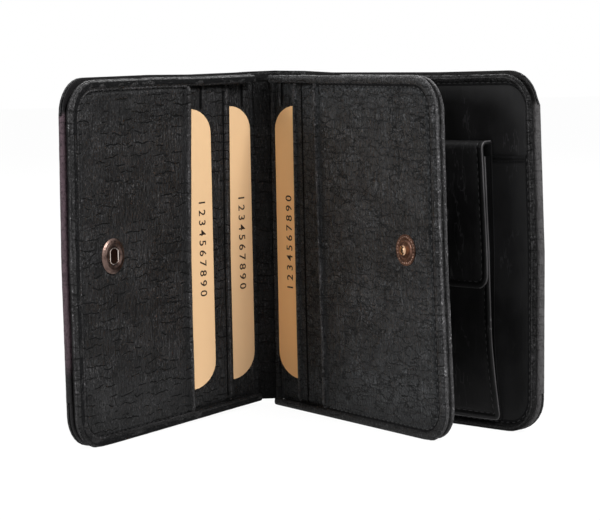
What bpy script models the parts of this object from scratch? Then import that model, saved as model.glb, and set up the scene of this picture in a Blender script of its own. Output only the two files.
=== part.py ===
"""A bifold leather card wallet standing open, with a centre leaf, a snap tab and a coin pouch.

Metres, +Z up. The spine runs along X and both boards open towards -Y. The origin is at the foot of
the spine, midway between its folds and in the middle of the cover leather's thickness.
Every board is drawn in its own terms: u runs from its fold to its free edge, n is depth through its
layers towards the inside of the wallet, and z is height.
"""

import math

import bmesh
import bpy
from mathutils import Vector

# Cards and their pockets
CARD_LENGTH = 0.0856
CARD_WIDTH = 0.0540
CARD_THICKNESS = 0.00035
CARD_PLAY = 0.0002
CARD_SHOW = 0.0134
CARD_ARC_ALONG = 0.0076
CARD_ARC_ACROSS = 0.0110
CARD_BACK_RADIUS = 0.0032
CARD_END_ROOM = 0.0097
CARD_FAR_ROOM = 0.0144
LEFT_CARD_SETBACK = 0.0011
POCKET_STEP = 0.0225
LEAF_CARD_SHOW = 0.0117
LEAF_POCKET_STEP = 0.0142
SPARE_SLOT = 0.0005

# Boards, as seen from the front
PANEL_SETBACK = 0.0010
LEAF_SETBACK = 0.0044
LEAF_DROP = 0.0015
CORNER_RADIUS = 0.0100
COVER_HEIGHT = CARD_LENGTH + 2 * CARD_END_ROOM + PANEL_SETBACK
BOARD_WIDTH = LEFT_CARD_SETBACK + POCKET_STEP + CARD_WIDTH + CARD_FAR_ROOM

# How far each board stands open from the shut wallet
LEFT_OPEN_DEG = 39.25
RIGHT_OPEN_DEG = 41.35
LEAF_OPEN_DEG = 29.0

# Leather, lining and the gaps between the layers
COVER_THICKNESS = 0.0009
LINING_THICKNESS = 0.00025
DIVIDER_THICKNESS = 0.0004
POCKET_THICKNESS = 0.0004
FACE_THICKNESS = 0.0007
BACK_THICKNESS = 0.0006
LAYER_GAP = 0.0002
BILL_GAP = 0.0005
LEATHER_ROUND = 0.00025

# Folds
SHUT_AZIMUTH_DEG = 270.0
FOLD_GAP = 0.0005
FOLD_STANDOFF = 0.0003
HINGE_ROLL_RADIUS = 0.0008
LEAF_BACK_START = 0.0025

# Turned edges
EDGE_WIDTH = 0.0018
EDGE_RISE = 0.0002
RIGHT_EDGE_RISE = 0.0008
LEAF_EDGE_GROOVE = 0.0002
EDGE_ROUND = 0.0005
HEM_WIDTH = 0.0022
HEM_THICKNESS = 0.0012
HEM_TOP_THICKNESS = 0.0005
NOTCH_DROP = 0.0100

# Slip pocket and coin pouch on the right board
SLIP_HEIGHT = 0.0810
SLIP_SLOT = 0.0004
SLIP_THICKNESS = 0.0005
POUCH_MARGIN = 0.0150
POUCH_FLOOR = 0.0030
POUCH_BACK_RISE = 0.0034
POUCH_BACK_THICKNESS = 0.0004
POUCH_WALL = 0.0006
POUCH_FOOT_DEPTH = 0.0008
POUCH_WAIST_DEPTH = 0.0016
POUCH_MOUTH_DEPTH = 0.0027
GUSSET_WALL = 0.0005

# Coin flap
FLAP_THICKNESS = 0.0008
FLAP_LENGTH = 0.0435
FLAP_CORNER_RADIUS = 0.0040
FLAP_CLEARANCE = 0.0003
FLAP_SNAP_DROP = 0.0300

# Press studs: the large pair shuts the wallet and the small pair shuts the coin flap
SNAP_HEIGHT = 0.0545
SNAP_FROM_EDGE = 0.0163
SNAP_SPACE = 0.0022
RING_RADIUS = 0.00515
RING_BORE = 0.0027
RING_HEIGHT = 0.0010
STUD_RADIUS = 0.00455
STUD_PLATE = 0.0003
STUD_COLLAR_RADIUS = 0.0030
STUD_COLLAR_HEIGHT = 0.0007
STUD_BALL_RADIUS = 0.0015
STUD_HEIGHT = 0.0019
SPRING_WIRE_RADIUS = 0.0002
SPRING_PLAY = 0.00012
RIVET_RADIUS = 0.0036
RIVET_PLATE = 0.00025
RIVET_SHANK_RADIUS = 0.0010
SHANK_PLAY = 0.0002
SEAT_GAP = 0.0001
CAP_DISC_RADIUS = 0.0024
CAP_DISC_PLATE = 0.00012
CAP_BARREL_RADIUS = 0.0016
CAP_PLATE_RADIUS = 0.0042
SPRING_REACH = 0.00015
FLAP_CAP_RADIUS = 0.0040
FLAP_CAP_HEIGHT = 0.0005
FLAP_RING_RADIUS = 0.0030
FLAP_RING_BORE = 0.0019
FLAP_STUD_RADIUS = 0.0026
FLAP_RING_HEIGHT = 0.00075
FLAP_STUD_PLATE = 0.00012
FLAP_STUD_HEIGHT = 0.0009
LEAF_CLEARANCE = 0.0005

# Making
OVERRUN = 0.0020
MERGE_DISTANCE = 0.000001
CORNER_STEPS = 8
TURN_STEPS = 40
SMALL_TURN_STEPS = 28
ROLL_STEPS = 12
WIRE_STEPS = 8
SMOOTH_ANGLE = math.radians(40)
ROUND_ANGLE = math.radians(50)

# Depths through the left board, from the cover's outer face
LINING_LOW = COVER_THICKNESS + LAYER_GAP
DIVIDER_LOW = LINING_LOW + LINING_THICKNESS + BILL_GAP
DIVIDER_HIGH = DIVIDER_LOW + DIVIDER_THICKNESS
CARD_SLOT = CARD_THICKNESS + 2 * CARD_PLAY
INNER_POCKET_LOW = DIVIDER_HIGH + CARD_SLOT
INNER_POCKET_HIGH = INNER_POCKET_LOW + POCKET_THICKNESS
LEFT_FACE_LOW = INNER_POCKET_HIGH + CARD_SLOT
LEFT_FACE = LEFT_FACE_LOW + FACE_THICKNESS
HEM_HIGH = LINING_LOW + HEM_THICKNESS
HEM_TOP_HIGH = LINING_LOW + HEM_TOP_THICKNESS
EDGE_LOW = HEM_HIGH + LAYER_GAP
FOLD_AXIS_DEPTH = COVER_THICKNESS / 2

# Depths through the right board, from the cover's outer face
SLIP_LOW = DIVIDER_HIGH + SLIP_SLOT
SLIP_FACE = SLIP_LOW + SLIP_THICKNESS
POUCH_BACK_LOW = SLIP_FACE + LAYER_GAP
POUCH_BACK_FACE = POUCH_BACK_LOW + POUCH_BACK_THICKNESS
POUCH_MOUTH_FACE = POUCH_BACK_FACE + POUCH_MOUTH_DEPTH + POUCH_WALL
FLAP_FACE = POUCH_MOUTH_FACE + FLAP_CLEARANCE + FLAP_THICKNESS
RIGHT_FACE = FLAP_FACE + FLAP_CAP_HEIGHT

# Depths through the leaf, from its middle: front is positive
LEAF_CARD_LOW = -CARD_SLOT / 2
LEAF_POCKET_LOW = CARD_SLOT / 2
LEAF_POCKET_HIGH = LEAF_POCKET_LOW + POCKET_THICKNESS
LEAF_FACE_LOW = LEAF_POCKET_HIGH + SPARE_SLOT
LEAF_FACE = LEAF_FACE_LOW + FACE_THICKNESS
LEAF_CORE_HIGH = LEAF_CARD_LOW
LEAF_CORE_LOW = LEAF_CORE_HIGH - DIVIDER_THICKNESS
LEAF_BACK_HIGH = LEAF_CORE_LOW - LAYER_GAP
LEAF_BACK = LEAF_BACK_HIGH - BACK_THICKNESS

# Spine, sized so that the shut wallet's layers just clear each other
SPINE_DIVIDER_LOW = FOLD_AXIS_DEPTH + BILL_GAP
SPINE_DIVIDER_HIGH = SPINE_DIVIDER_LOW + DIVIDER_THICKNESS
LEAF_HINGE_DEPTH = SPINE_DIVIDER_HIGH + FOLD_STANDOFF + HINGE_ROLL_RADIUS
LEAF_HINGE_PLACE = LEFT_FACE - FOLD_AXIS_DEPTH + SNAP_SPACE + LEAF_FACE
SPINE_WIDTH = LEAF_HINGE_PLACE - LEAF_BACK + EDGE_RISE + LEAF_CLEARANCE + RIGHT_FACE - FOLD_AXIS_DEPTH
SPINE_DIVIDER_INSET = INNER_POCKET_LOW - FOLD_AXIS_DEPTH
PANEL_START = SPINE_DIVIDER_HIGH + FOLD_STANDOFF
LEAF_START = HINGE_ROLL_RADIUS + FOLD_STANDOFF

# Sizes that follow
PANEL_HEIGHT = COVER_HEIGHT - PANEL_SETBACK
LEAF_HEIGHT = COVER_HEIGHT - LEAF_DROP
LEAF_WIDTH = BOARD_WIDTH - LEAF_SETBACK
CARD_FOOT = (PANEL_HEIGHT - CARD_LENGTH) / 2
LEAF_CARD_FOOT = (LEAF_HEIGHT - CARD_LENGTH) / 2
MOUTH_INNER = LEFT_CARD_SETBACK + CARD_SHOW
MOUTH_OUTER = MOUTH_INNER + POCKET_STEP
LEAF_MOUTH_INNER = LEAF_START + LEAF_CARD_SHOW
LEAF_MOUTH_OUTER = LEAF_MOUTH_INNER + LEAF_POCKET_STEP
STUD_PLACE = LEAF_WIDTH - SNAP_FROM_EDGE
RING_PLACE = LEAF_HINGE_DEPTH + STUD_PLACE
POUCH_RIGHT = BOARD_WIDTH - POUCH_MARGIN
POUCH_BACK_TOP = SLIP_HEIGHT + POUCH_BACK_RISE
POUCH_TOP = SLIP_HEIGHT
FLAP_PIVOT_DEPTH = POUCH_BACK_LOW + POUCH_BACK_THICKNESS / 2
FLAP_PIVOT_HEIGHT = POUCH_BACK_TOP + FLAP_CLEARANCE + FLAP_THICKNESS / 2
FLAP_TOP = FLAP_PIVOT_HEIGHT + FLAP_THICKNESS / 2
FLAP_FOOT = FLAP_TOP - FLAP_LENGTH
POUCH_WAIST_HEIGHT = FLAP_FOOT
POUCH_SLOPE = (POUCH_MOUTH_DEPTH - POUCH_WAIST_DEPTH) / (POUCH_TOP - POUCH_WAIST_HEIGHT)

# Turned profiles, as shares of their radius and height
BALL_SHARES = [(0.78, 0), (0.78, 0.35), (1, 0.5), (1, 0.65), (0.85, 0.85), (0.5, 0.97), (0, 1)]
RING_SHARES = [(0, 0), (1, 0), (1, 0.2), (0.8, 0.65), (0.5, 0.95), (0.25, 1), (0.05, 0.85), (0, 0.6)]
COLLAR_SHARES = [(1, 0), (0.97, 0.85), (0.88, 1), (0.8, 0.85), (0.77, 0)]
DOME_SHARES = [(1, 0.4), (0.9, 0.7), (0.6, 0.95), (0, 1)]

FINISHES = {
    "cover_leather": ((0.020, 0.019, 0.020), 0.50, 0.0),
    "panel_leather": ((0.024, 0.024, 0.025), 0.55, 0.0),
    "lining": ((0.012, 0.012, 0.013), 0.70, 0.0),
    "card_stock": ((0.72, 0.50, 0.29), 0.60, 0.0),
    "copper": ((0.26, 0.13, 0.09), 0.38, 1.0),
}


class Board:
    """One board's frame: an empty on its fold axis, the side that depth grows to, and the axis's depth."""

    def __init__(self, name, location, azimuth_deg, side, axis_depth, parent=None):
        self.side = side
        self.axis_depth = axis_depth
        self.empty = bpy.data.objects.new(name, None)
        bpy.context.scene.collection.objects.link(self.empty)
        self.empty.location = location
        self.empty.rotation_euler = (0, 0, math.radians(azimuth_deg))
        if parent is not None:
            self.empty.parent = parent.empty

    def local(self, u, n, z):
        return Vector((u, self.side * (n - self.axis_depth), z))


def clear_scene():
    for old in list(bpy.data.objects):
        bpy.data.objects.remove(old, do_unlink=True)


def paint(name, finish):
    """A piece's own material, named after the piece."""
    colour, roughness, metallic = FINISHES[finish]
    made = bpy.data.materials.new(name)
    made.use_nodes = True
    shader = made.node_tree.nodes["Principled BSDF"]
    shader.inputs["Base Color"].default_value = (*colour, 1.0)
    shader.inputs["Roughness"].default_value = roughness
    shader.inputs["Metallic"].default_value = metallic
    made.diffuse_color = (*colour, 1.0)
    return made


def solid(name, board, points, faces, finish):
    """One closed mesh from points given as (u, n, z) on a board."""
    mesh = bpy.data.meshes.new(name)
    mesh.from_pydata([board.local(*point) for point in points], [], faces)
    work = bmesh.new()
    work.from_mesh(mesh)
    bmesh.ops.remove_doubles(work, verts=work.verts, dist=MERGE_DISTANCE)
    bmesh.ops.recalc_face_normals(work, faces=work.faces)
    work.to_mesh(mesh)
    work.free()
    made = bpy.data.objects.new(name, mesh)
    bpy.context.scene.collection.objects.link(made)
    made.parent = board.empty
    if finish is not None:
        mesh.materials.append(paint(name, finish))
    return made


def bridge(name, board, near, far, finish):
    """A solid between two rings of equal count, closed by a cap on each."""
    count = len(near)
    faces = [list(range(count)), [count + i for i in range(count)]]
    faces += [(i, (i + 1) % count, count + (i + 1) % count, count + i) for i in range(count)]
    return solid(name, board, near + far, faces, finish)


def layer(name, board, outline, low, high, finish="panel_leather"):
    """A flat layer: an outline in (u, z) from one depth to another."""
    near = [(u, low, z) for u, z in outline]
    far = [(u, high, z) for u, z in outline]
    return bridge(name, board, near, far, finish)


def section_run(name, board, section, u_low, u_high, finish="panel_leather"):
    """A section in (n, z) carried along u."""
    near = [(u_low, n, z) for n, z in section]
    far = [(u_high, n, z) for n, z in section]
    return bridge(name, board, near, far, finish)


def edge_run(name, board, outer, inner, low, high, finish="panel_leather"):
    """A strip between two lines of equal count in (u, z); its high depth is a function of z."""
    count = len(outer)
    points = [(u, low, z) for u, z in outer + inner]
    points += [(u, high(z), z) for u, z in outer + inner]
    faces = []
    for a in range(count - 1):
        b = a + 1
        faces.append((a, b, count + b, count + a))
        faces.append((2 * count + a, 2 * count + b, 3 * count + b, 3 * count + a))
        faces.append((a, b, 2 * count + b, 2 * count + a))
        faces.append((count + a, count + b, 3 * count + b, 3 * count + a))
    for a in (0, count - 1):
        faces.append((a, count + a, 3 * count + a, 2 * count + a))
    return solid(name, board, points, faces, finish)


def turned(name, board, place, profile, steps, finish, lean=0.0):
    """A turned piece from (radius, height) pairs, its axis along n at place, tilted by lean about u."""
    u0, n0, z0 = place
    points, starts = [], []
    for radius, height in profile:
        starts.append(len(points))
        for i in range(steps if radius > 0 else 1):
            angle = math.tau * i / steps
            across, up = radius * math.cos(angle), radius * math.sin(angle)
            depth = n0 + height * math.cos(lean) + up * math.sin(lean)
            points.append((u0 + across, depth, z0 + up * math.cos(lean) - height * math.sin(lean)))
    pairs = len(profile) if profile[0][0] > 0 else len(profile) - 1
    faces = []
    for a in range(pairs):
        b = (a + 1) % len(profile)
        for i in range(steps):
            j = (i + 1) % steps
            if profile[a][0] == 0:
                faces.append((starts[a], starts[b] + j, starts[b] + i))
            elif profile[b][0] == 0:
                faces.append((starts[a] + i, starts[a] + j, starts[b]))
            else:
                faces.append((starts[a] + i, starts[a] + j, starts[b] + j, starts[b] + i))
    made = solid(name, board, points, faces, finish)
    shade_round(made)
    return made


def shade_round(made):
    made.data.shade_smooth()
    made.data.set_sharp_from_angle(angle=SMOOTH_ANGLE)


def round_edges(made, width=LEATHER_ROUND, segments=1):
    bevel = made.modifiers.new("rounded", "BEVEL")
    bevel.width = width
    bevel.segments = segments
    bevel.limit_method = "ANGLE"
    bevel.angle_limit = ROUND_ANGLE


def boolean(made, other, operation="DIFFERENCE"):
    other.hide_render = True
    other.display_type = "WIRE"
    step = made.modifiers.new(other.name, "BOOLEAN")
    step.operation = operation
    step.solver = "EXACT"
    step.object = other


def arc(centre, radii, start_deg, end_deg, steps=CORNER_STEPS):
    """Points on part of an ellipse, in (u, z), from one angle to another."""
    turns = [math.radians(start_deg + (end_deg - start_deg) * i / steps) for i in range(steps + 1)]
    return [(centre[0] + radii[0] * math.cos(t), centre[1] + radii[1] * math.sin(t)) for t in turns]


def three_sides(start, end, foot, top, radius):
    """The line round a board's free edges: along its top, down its free side and back along its foot."""
    line = [(start, top)]
    line += arc((end - radius, top - radius), (radius, radius), 90, 0)
    line += arc((end - radius, foot + radius), (radius, radius), 0, -90)
    line.append((start, foot))
    return line


def turned_edge(name, board, start, end, top, low, high, width, finish):
    """The rolled or turned leather round a board's three free sides."""
    outer = three_sides(start, end, 0, top, CORNER_RADIUS)
    inner = three_sides(start, end - width, width, top - width, CORNER_RADIUS - width)
    made = edge_run(name, board, outer, inner, low, lambda z: high, finish)
    round_edges(made, EDGE_ROUND, 2)
    return made


def inner_layer(name, board, start, board_width, height, low, high, inset=EDGE_WIDTH + LAYER_GAP):
    """A pocket, backing or lining that ends inside the turned edge."""
    outline = three_sides(start, board_width - inset, inset, height - inset, CORNER_RADIUS - inset)
    return layer(name, board, outline, low, high)


def press_cut(made, name, board, place, thickness, radius, bore, lean=0.0):
    """Cuts a hole right through a layer, with a pressed seat for a plate in its back."""
    seat_top = RIVET_PLATE + SEAT_GAP - thickness
    profile = [
        (0, -thickness - OVERRUN),
        (radius + SHANK_PLAY, -thickness - OVERRUN),
        (radius + SHANK_PLAY, seat_top),
        (bore, seat_top),
        (bore, OVERRUN),
        (0, OVERRUN),
    ]
    boolean(made, turned(name, board, place, profile, SMALL_TURN_STEPS, None, lean))


def rivet(name, board, place, thickness, lean=0.0):
    """A rivet seen from behind a layer: its plate lies in the back and its shank ends at the face."""
    plate_top = RIVET_PLATE - thickness
    profile = [
        (0, -thickness),
        (RIVET_RADIUS, -thickness),
        (RIVET_RADIUS, plate_top),
        (RIVET_SHANK_RADIUS, plate_top),
        (RIVET_SHANK_RADIUS, 0),
        (0, 0),
    ]
    turned(name, board, place, profile, SMALL_TURN_STEPS, "copper", lean)


def stud_profile(plate_radius, plate, height):
    """A stud's plate with a ball on a neck."""
    foot = SEAT_GAP + plate
    ball = [(STUD_BALL_RADIUS * r, foot + (height - foot) * h) for r, h in BALL_SHARES]
    return [(0, SEAT_GAP), (plate_radius, SEAT_GAP), (plate_radius, foot)], ball


def card(name, board, start, foot, slot_low):
    """A card with two wide corners on its showing edge and two small ones inside the pocket."""
    far, top = start + CARD_WIDTH, foot + CARD_LENGTH
    wide = (CARD_ARC_ACROSS, CARD_ARC_ALONG)
    small = (CARD_BACK_RADIUS, CARD_BACK_RADIUS)
    outline = arc((start + wide[0], top - wide[1]), wide, 90, 180)
    outline += arc((start + wide[0], foot + wide[1]), wide, 180, 270)
    outline += arc((far - small[0], foot + small[1]), small, -90, 0)
    outline += arc((far - small[0], top - small[1]), small, 0, 90)
    low = slot_low + CARD_PLAY
    layer(name, board, outline, low, low + CARD_THICKNESS, "card_stock")


def make_spine(spine):
    half = SPINE_WIDTH / 2
    cover_end, divider_end = half - FOLD_GAP, half - SPINE_DIVIDER_INSET
    outline = [(-cover_end, 0), (cover_end, 0), (cover_end, COVER_HEIGHT), (-cover_end, COVER_HEIGHT)]
    layer("spine_cover", spine, outline, 0, COVER_THICKNESS, "cover_leather")
    outline = [(-divider_end, 0), (divider_end, 0),
               (divider_end, PANEL_HEIGHT), (-divider_end, PANEL_HEIGHT)]
    low = FOLD_AXIS_DEPTH + SPINE_DIVIDER_LOW
    layer("spine_divider", spine, outline, low, low + DIVIDER_THICKNESS)


def make_cover(side, board):
    """A board's outer leather, its turned edge, its lining, and the leather that makes a bill pocket."""
    outline = three_sides(FOLD_GAP, BOARD_WIDTH, 0, COVER_HEIGHT, CORNER_RADIUS)
    cover = layer(side + "_cover", board, outline, 0, COVER_THICKNESS, "cover_leather")
    round_edges(cover)
    hem = turned_edge(
        side + "_cover_hem", board, PANEL_START, BOARD_WIDTH, COVER_HEIGHT,
        LINING_LOW, HEM_HIGH, HEM_WIDTH, "cover_leather",
    )
    notch_foot, notch_top = COVER_HEIGHT - NOTCH_DROP, COVER_HEIGHT + OVERRUN
    notch = [(HEM_TOP_HIGH, notch_foot), (HEM_HIGH + OVERRUN, notch_foot),
             (HEM_HIGH + OVERRUN, notch_top), (HEM_TOP_HIGH, notch_top)]
    cut = section_run(side + "_notch_cut", board, notch, 0, BOARD_WIDTH + OVERRUN, None)
    boolean(hem, cut)
    inset = HEM_WIDTH + LAYER_GAP
    inner_layer(side + "_bill_lining", board, PANEL_START, BOARD_WIDTH, COVER_HEIGHT,
                LINING_LOW, LINING_LOW + LINING_THICKNESS, inset)
    inner_layer(side + "_panel_back", board, PANEL_START, BOARD_WIDTH, PANEL_HEIGHT,
                DIVIDER_LOW, DIVIDER_HIGH, inset)


def make_left_pockets(left):
    """Two stepped card pockets, the turned edge round them, and the cards."""
    inner_layer("left_pocket_inner", left, MOUTH_INNER, BOARD_WIDTH, PANEL_HEIGHT,
                INNER_POCKET_LOW, INNER_POCKET_HIGH)
    face = inner_layer("left_pocket_outer", left, MOUTH_OUTER, BOARD_WIDTH, PANEL_HEIGHT,
                       LEFT_FACE_LOW, LEFT_FACE)
    round_edges(face)
    turned_edge("left_binding", left, PANEL_START, BOARD_WIDTH, PANEL_HEIGHT,
                EDGE_LOW, LEFT_FACE + EDGE_RISE, EDGE_WIDTH, "panel_leather")
    card("left_card_inner", left, LEFT_CARD_SETBACK, CARD_FOOT, DIVIDER_HIGH)
    card("left_card_outer", left, MOUTH_OUTER - CARD_SHOW, CARD_FOOT, INNER_POCKET_HIGH)
    return face


def make_snap_socket(left, face):
    """The press stud's socket: a domed ring, the spring in it, and the cap that rivets them on."""
    place = (RING_PLACE, LEFT_FACE, SNAP_HEIGHT)
    bore = CAP_BARREL_RADIUS + SHANK_PLAY
    press_cut(face, "snap_socket_cut", left, place, FACE_THICKNESS, CAP_PLATE_RADIUS, bore)
    plate_top, disc_low = RIVET_PLATE - FACE_THICKNESS, SEAT_GAP
    disc_high = disc_low + CAP_DISC_PLATE
    cap = [(0, -FACE_THICKNESS), (CAP_PLATE_RADIUS, -FACE_THICKNESS), (CAP_PLATE_RADIUS, plate_top),
           (CAP_BARREL_RADIUS, plate_top), (CAP_BARREL_RADIUS, disc_low),
           (CAP_DISC_RADIUS, disc_low), (CAP_DISC_RADIUS, disc_high), (0, disc_high)]
    turned("snap_socket_cap", left, place, cap, SMALL_TURN_STEPS, "copper")
    ring = [(RING_BORE + (RING_RADIUS - RING_BORE) * r, SEAT_GAP + (RING_HEIGHT - SEAT_GAP) * h)
            for r, h in RING_SHARES]
    turned("snap_socket_ring", left, place, ring, TURN_STEPS, "copper")
    make_snap_spring(left, place, (disc_high + RING_HEIGHT) / 2)


def make_snap_spring(left, place, height):
    """One closed loop of wire in the ring: two straight bars joined by two bends."""
    reach = RING_BORE - SPRING_PLAY - SPRING_WIRE_RADIUS
    bar = STUD_BALL_RADIUS + SPRING_REACH + SPRING_WIRE_RADIUS
    turn_deg = math.degrees(math.acos(bar / reach))
    path = arc((0, 0), (reach, reach), turn_deg, 180 - turn_deg)
    path += arc((0, 0), (reach, reach), 180 + turn_deg, 360 - turn_deg)
    count = len(path)
    points = []
    for i, (across, up) in enumerate(path):
        before, after = Vector(path[i - 1]), Vector(path[(i + 1) % count])
        along = (after - before).normalized()
        for k in range(WIRE_STEPS):
            angle = math.tau * k / WIRE_STEPS
            out, rise = SPRING_WIRE_RADIUS * math.cos(angle), SPRING_WIRE_RADIUS * math.sin(angle)
            points.append((place[0] + across + along.y * out, place[1] + height + rise,
                           place[2] + up - along.x * out))
    faces = []
    for i in range(count):
        near, far = i * WIRE_STEPS, (i + 1) % count * WIRE_STEPS
        for k in range(WIRE_STEPS):
            m = (k + 1) % WIRE_STEPS
            faces.append((near + k, near + m, far + m, far + k))
    shade_round(solid("snap_socket_spring", left, points, faces, "copper"))


def make_leaf_hinge(strip):
    """The roll of leather that the leaf swings on, its ends level with the leaf's."""
    turns = [math.tau * i / ROLL_STEPS for i in range(ROLL_STEPS)]
    ring = [(HINGE_ROLL_RADIUS * math.cos(t), HINGE_ROLL_RADIUS * math.sin(t)) for t in turns]
    roll = bridge("leaf_hinge_strip", strip, [(u, n, 0) for u, n in ring],
                  [(u, n, LEAF_HEIGHT) for u, n in ring], "panel_leather")
    shade_round(roll)


def make_leaf(leaf):
    """The centre leaf: card pockets in front, leather behind and a turned edge on each face."""
    back = inner_layer("leaf_back_panel", leaf, LEAF_BACK_START, LEAF_WIDTH, LEAF_HEIGHT,
                       LEAF_BACK, LEAF_BACK_HIGH)
    round_edges(back)
    inner_layer("leaf_backing", leaf, LEAF_START, LEAF_WIDTH, LEAF_HEIGHT, LEAF_CORE_LOW, LEAF_CORE_HIGH)
    inner_layer("leaf_pocket_inner", leaf, LEAF_MOUTH_INNER, LEAF_WIDTH, LEAF_HEIGHT,
                LEAF_POCKET_LOW, LEAF_POCKET_HIGH)
    face = inner_layer("leaf_pocket_outer", leaf, LEAF_MOUTH_OUTER, LEAF_WIDTH, LEAF_HEIGHT,
                       LEAF_FACE_LOW, LEAF_FACE)
    round_edges(face)
    turned_edge("leaf_binding_front", leaf, LEAF_START, LEAF_WIDTH, LEAF_HEIGHT,
                LEAF_EDGE_GROOVE / 2, LEAF_FACE + EDGE_RISE, EDGE_WIDTH, "panel_leather")
    turned_edge("leaf_binding_back", leaf, LEAF_BACK_START, LEAF_WIDTH, LEAF_HEIGHT,
                LEAF_BACK - EDGE_RISE, -LEAF_EDGE_GROOVE / 2, EDGE_WIDTH, "panel_leather")
    card("leaf_card", leaf, LEAF_START, LEAF_CARD_FOOT, LEAF_CARD_LOW)
    return face


def make_snap_stud(leaf, face):
    """The press stud: a plate with a raised collar and a ball, held by a rivet from behind."""
    place = (STUD_PLACE, LEAF_FACE, SNAP_HEIGHT)
    press_cut(face, "snap_stud_cut", leaf, place, FACE_THICKNESS, RIVET_RADIUS,
              RIVET_SHANK_RADIUS + SHANK_PLAY)
    rivet("snap_stud_rivet", leaf, place, FACE_THICKNESS)
    plate, ball = stud_profile(STUD_RADIUS, STUD_PLATE, STUD_HEIGHT)
    foot = SEAT_GAP + STUD_PLATE
    collar = [(STUD_COLLAR_RADIUS * r, foot + (STUD_COLLAR_HEIGHT - foot) * h) for r, h in COLLAR_SHARES]
    turned("snap_stud", leaf, place, plate + collar + ball, TURN_STEPS, "copper")


def make_right_panel(right):
    """The slip pocket on the right board and the turned edge round it."""
    inset = EDGE_WIDTH + LAYER_GAP
    radius = CORNER_RADIUS - inset
    end, foot = BOARD_WIDTH - inset, inset
    outline = [(PANEL_START, SLIP_HEIGHT), (end, SLIP_HEIGHT)]
    outline += arc((end - radius, foot + radius), (radius, radius), 0, -90)
    outline.append((PANEL_START, foot))
    slip = layer("right_slip_pocket", right, outline, SLIP_LOW, SLIP_FACE)
    round_edges(slip, SLIP_THICKNESS / 4)
    turned_edge("right_binding", right, PANEL_START, BOARD_WIDTH, PANEL_HEIGHT,
                EDGE_LOW, SLIP_FACE + RIGHT_EDGE_RISE, EDGE_WIDTH, "panel_leather")


def pouch_depth(z):
    """The depth of the space in the coin pouch at a height: shallow at its foot and wide at its mouth."""
    if z < POUCH_WAIST_HEIGHT:
        share = (z - POUCH_FLOOR) / (POUCH_WAIST_HEIGHT - POUCH_FLOOR)
        return POUCH_FOOT_DEPTH + (POUCH_WAIST_DEPTH - POUCH_FOOT_DEPTH) * share
    return POUCH_WAIST_DEPTH + POUCH_SLOPE * (z - POUCH_WAIST_HEIGHT)


def pouch_face(z):
    return POUCH_BACK_FACE + pouch_depth(z) + POUCH_WALL


def make_coin_pouch(right):
    """The coin pouch: its back, the gusset round three sides and its bellied front with a press stud."""
    left_edge, right_edge = POUCH_MARGIN, POUCH_RIGHT
    levels = [POUCH_FLOOR, POUCH_WAIST_HEIGHT, POUCH_TOP]
    back = [(left_edge, POUCH_FLOOR), (right_edge, POUCH_FLOOR),
            (right_edge, POUCH_BACK_TOP), (left_edge, POUCH_BACK_TOP)]
    layer("coin_pouch_back", right, back, POUCH_BACK_LOW, POUCH_BACK_FACE)
    outer = [(left_edge, z) for z in reversed(levels)] + [(right_edge, z) for z in levels]
    inner_levels = [POUCH_FLOOR + GUSSET_WALL, POUCH_WAIST_HEIGHT, POUCH_TOP]
    inner = [(left_edge + GUSSET_WALL, z) for z in reversed(inner_levels)]
    inner += [(right_edge - GUSSET_WALL, z) for z in inner_levels]
    edge_run("coin_pouch_gusset", right, outer, inner, POUCH_BACK_FACE + LAYER_GAP,
             lambda z: POUCH_BACK_FACE + pouch_depth(z) - LAYER_GAP)
    section = [(pouch_face(z) - POUCH_WALL, z) for z in levels]
    section += [(pouch_face(z), z) for z in reversed(levels)]
    front = section_run("coin_pouch_front", right, section, left_edge, right_edge)
    z = FLAP_TOP - FLAP_SNAP_DROP
    place, lean = ((left_edge + right_edge) / 2, pouch_face(z), z), math.atan(POUCH_SLOPE)
    press_cut(front, "pouch_snap_cut", right, place, POUCH_WALL, RIVET_RADIUS,
              RIVET_SHANK_RADIUS + SHANK_PLAY, lean)
    rivet("pouch_snap_rivet", right, place, POUCH_WALL, lean)
    plate, ball = stud_profile(FLAP_STUD_RADIUS, FLAP_STUD_PLATE, FLAP_STUD_HEIGHT)
    turned("pouch_snap_stud", right, place, plate + ball, SMALL_TURN_STEPS, "copper", lean)


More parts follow.
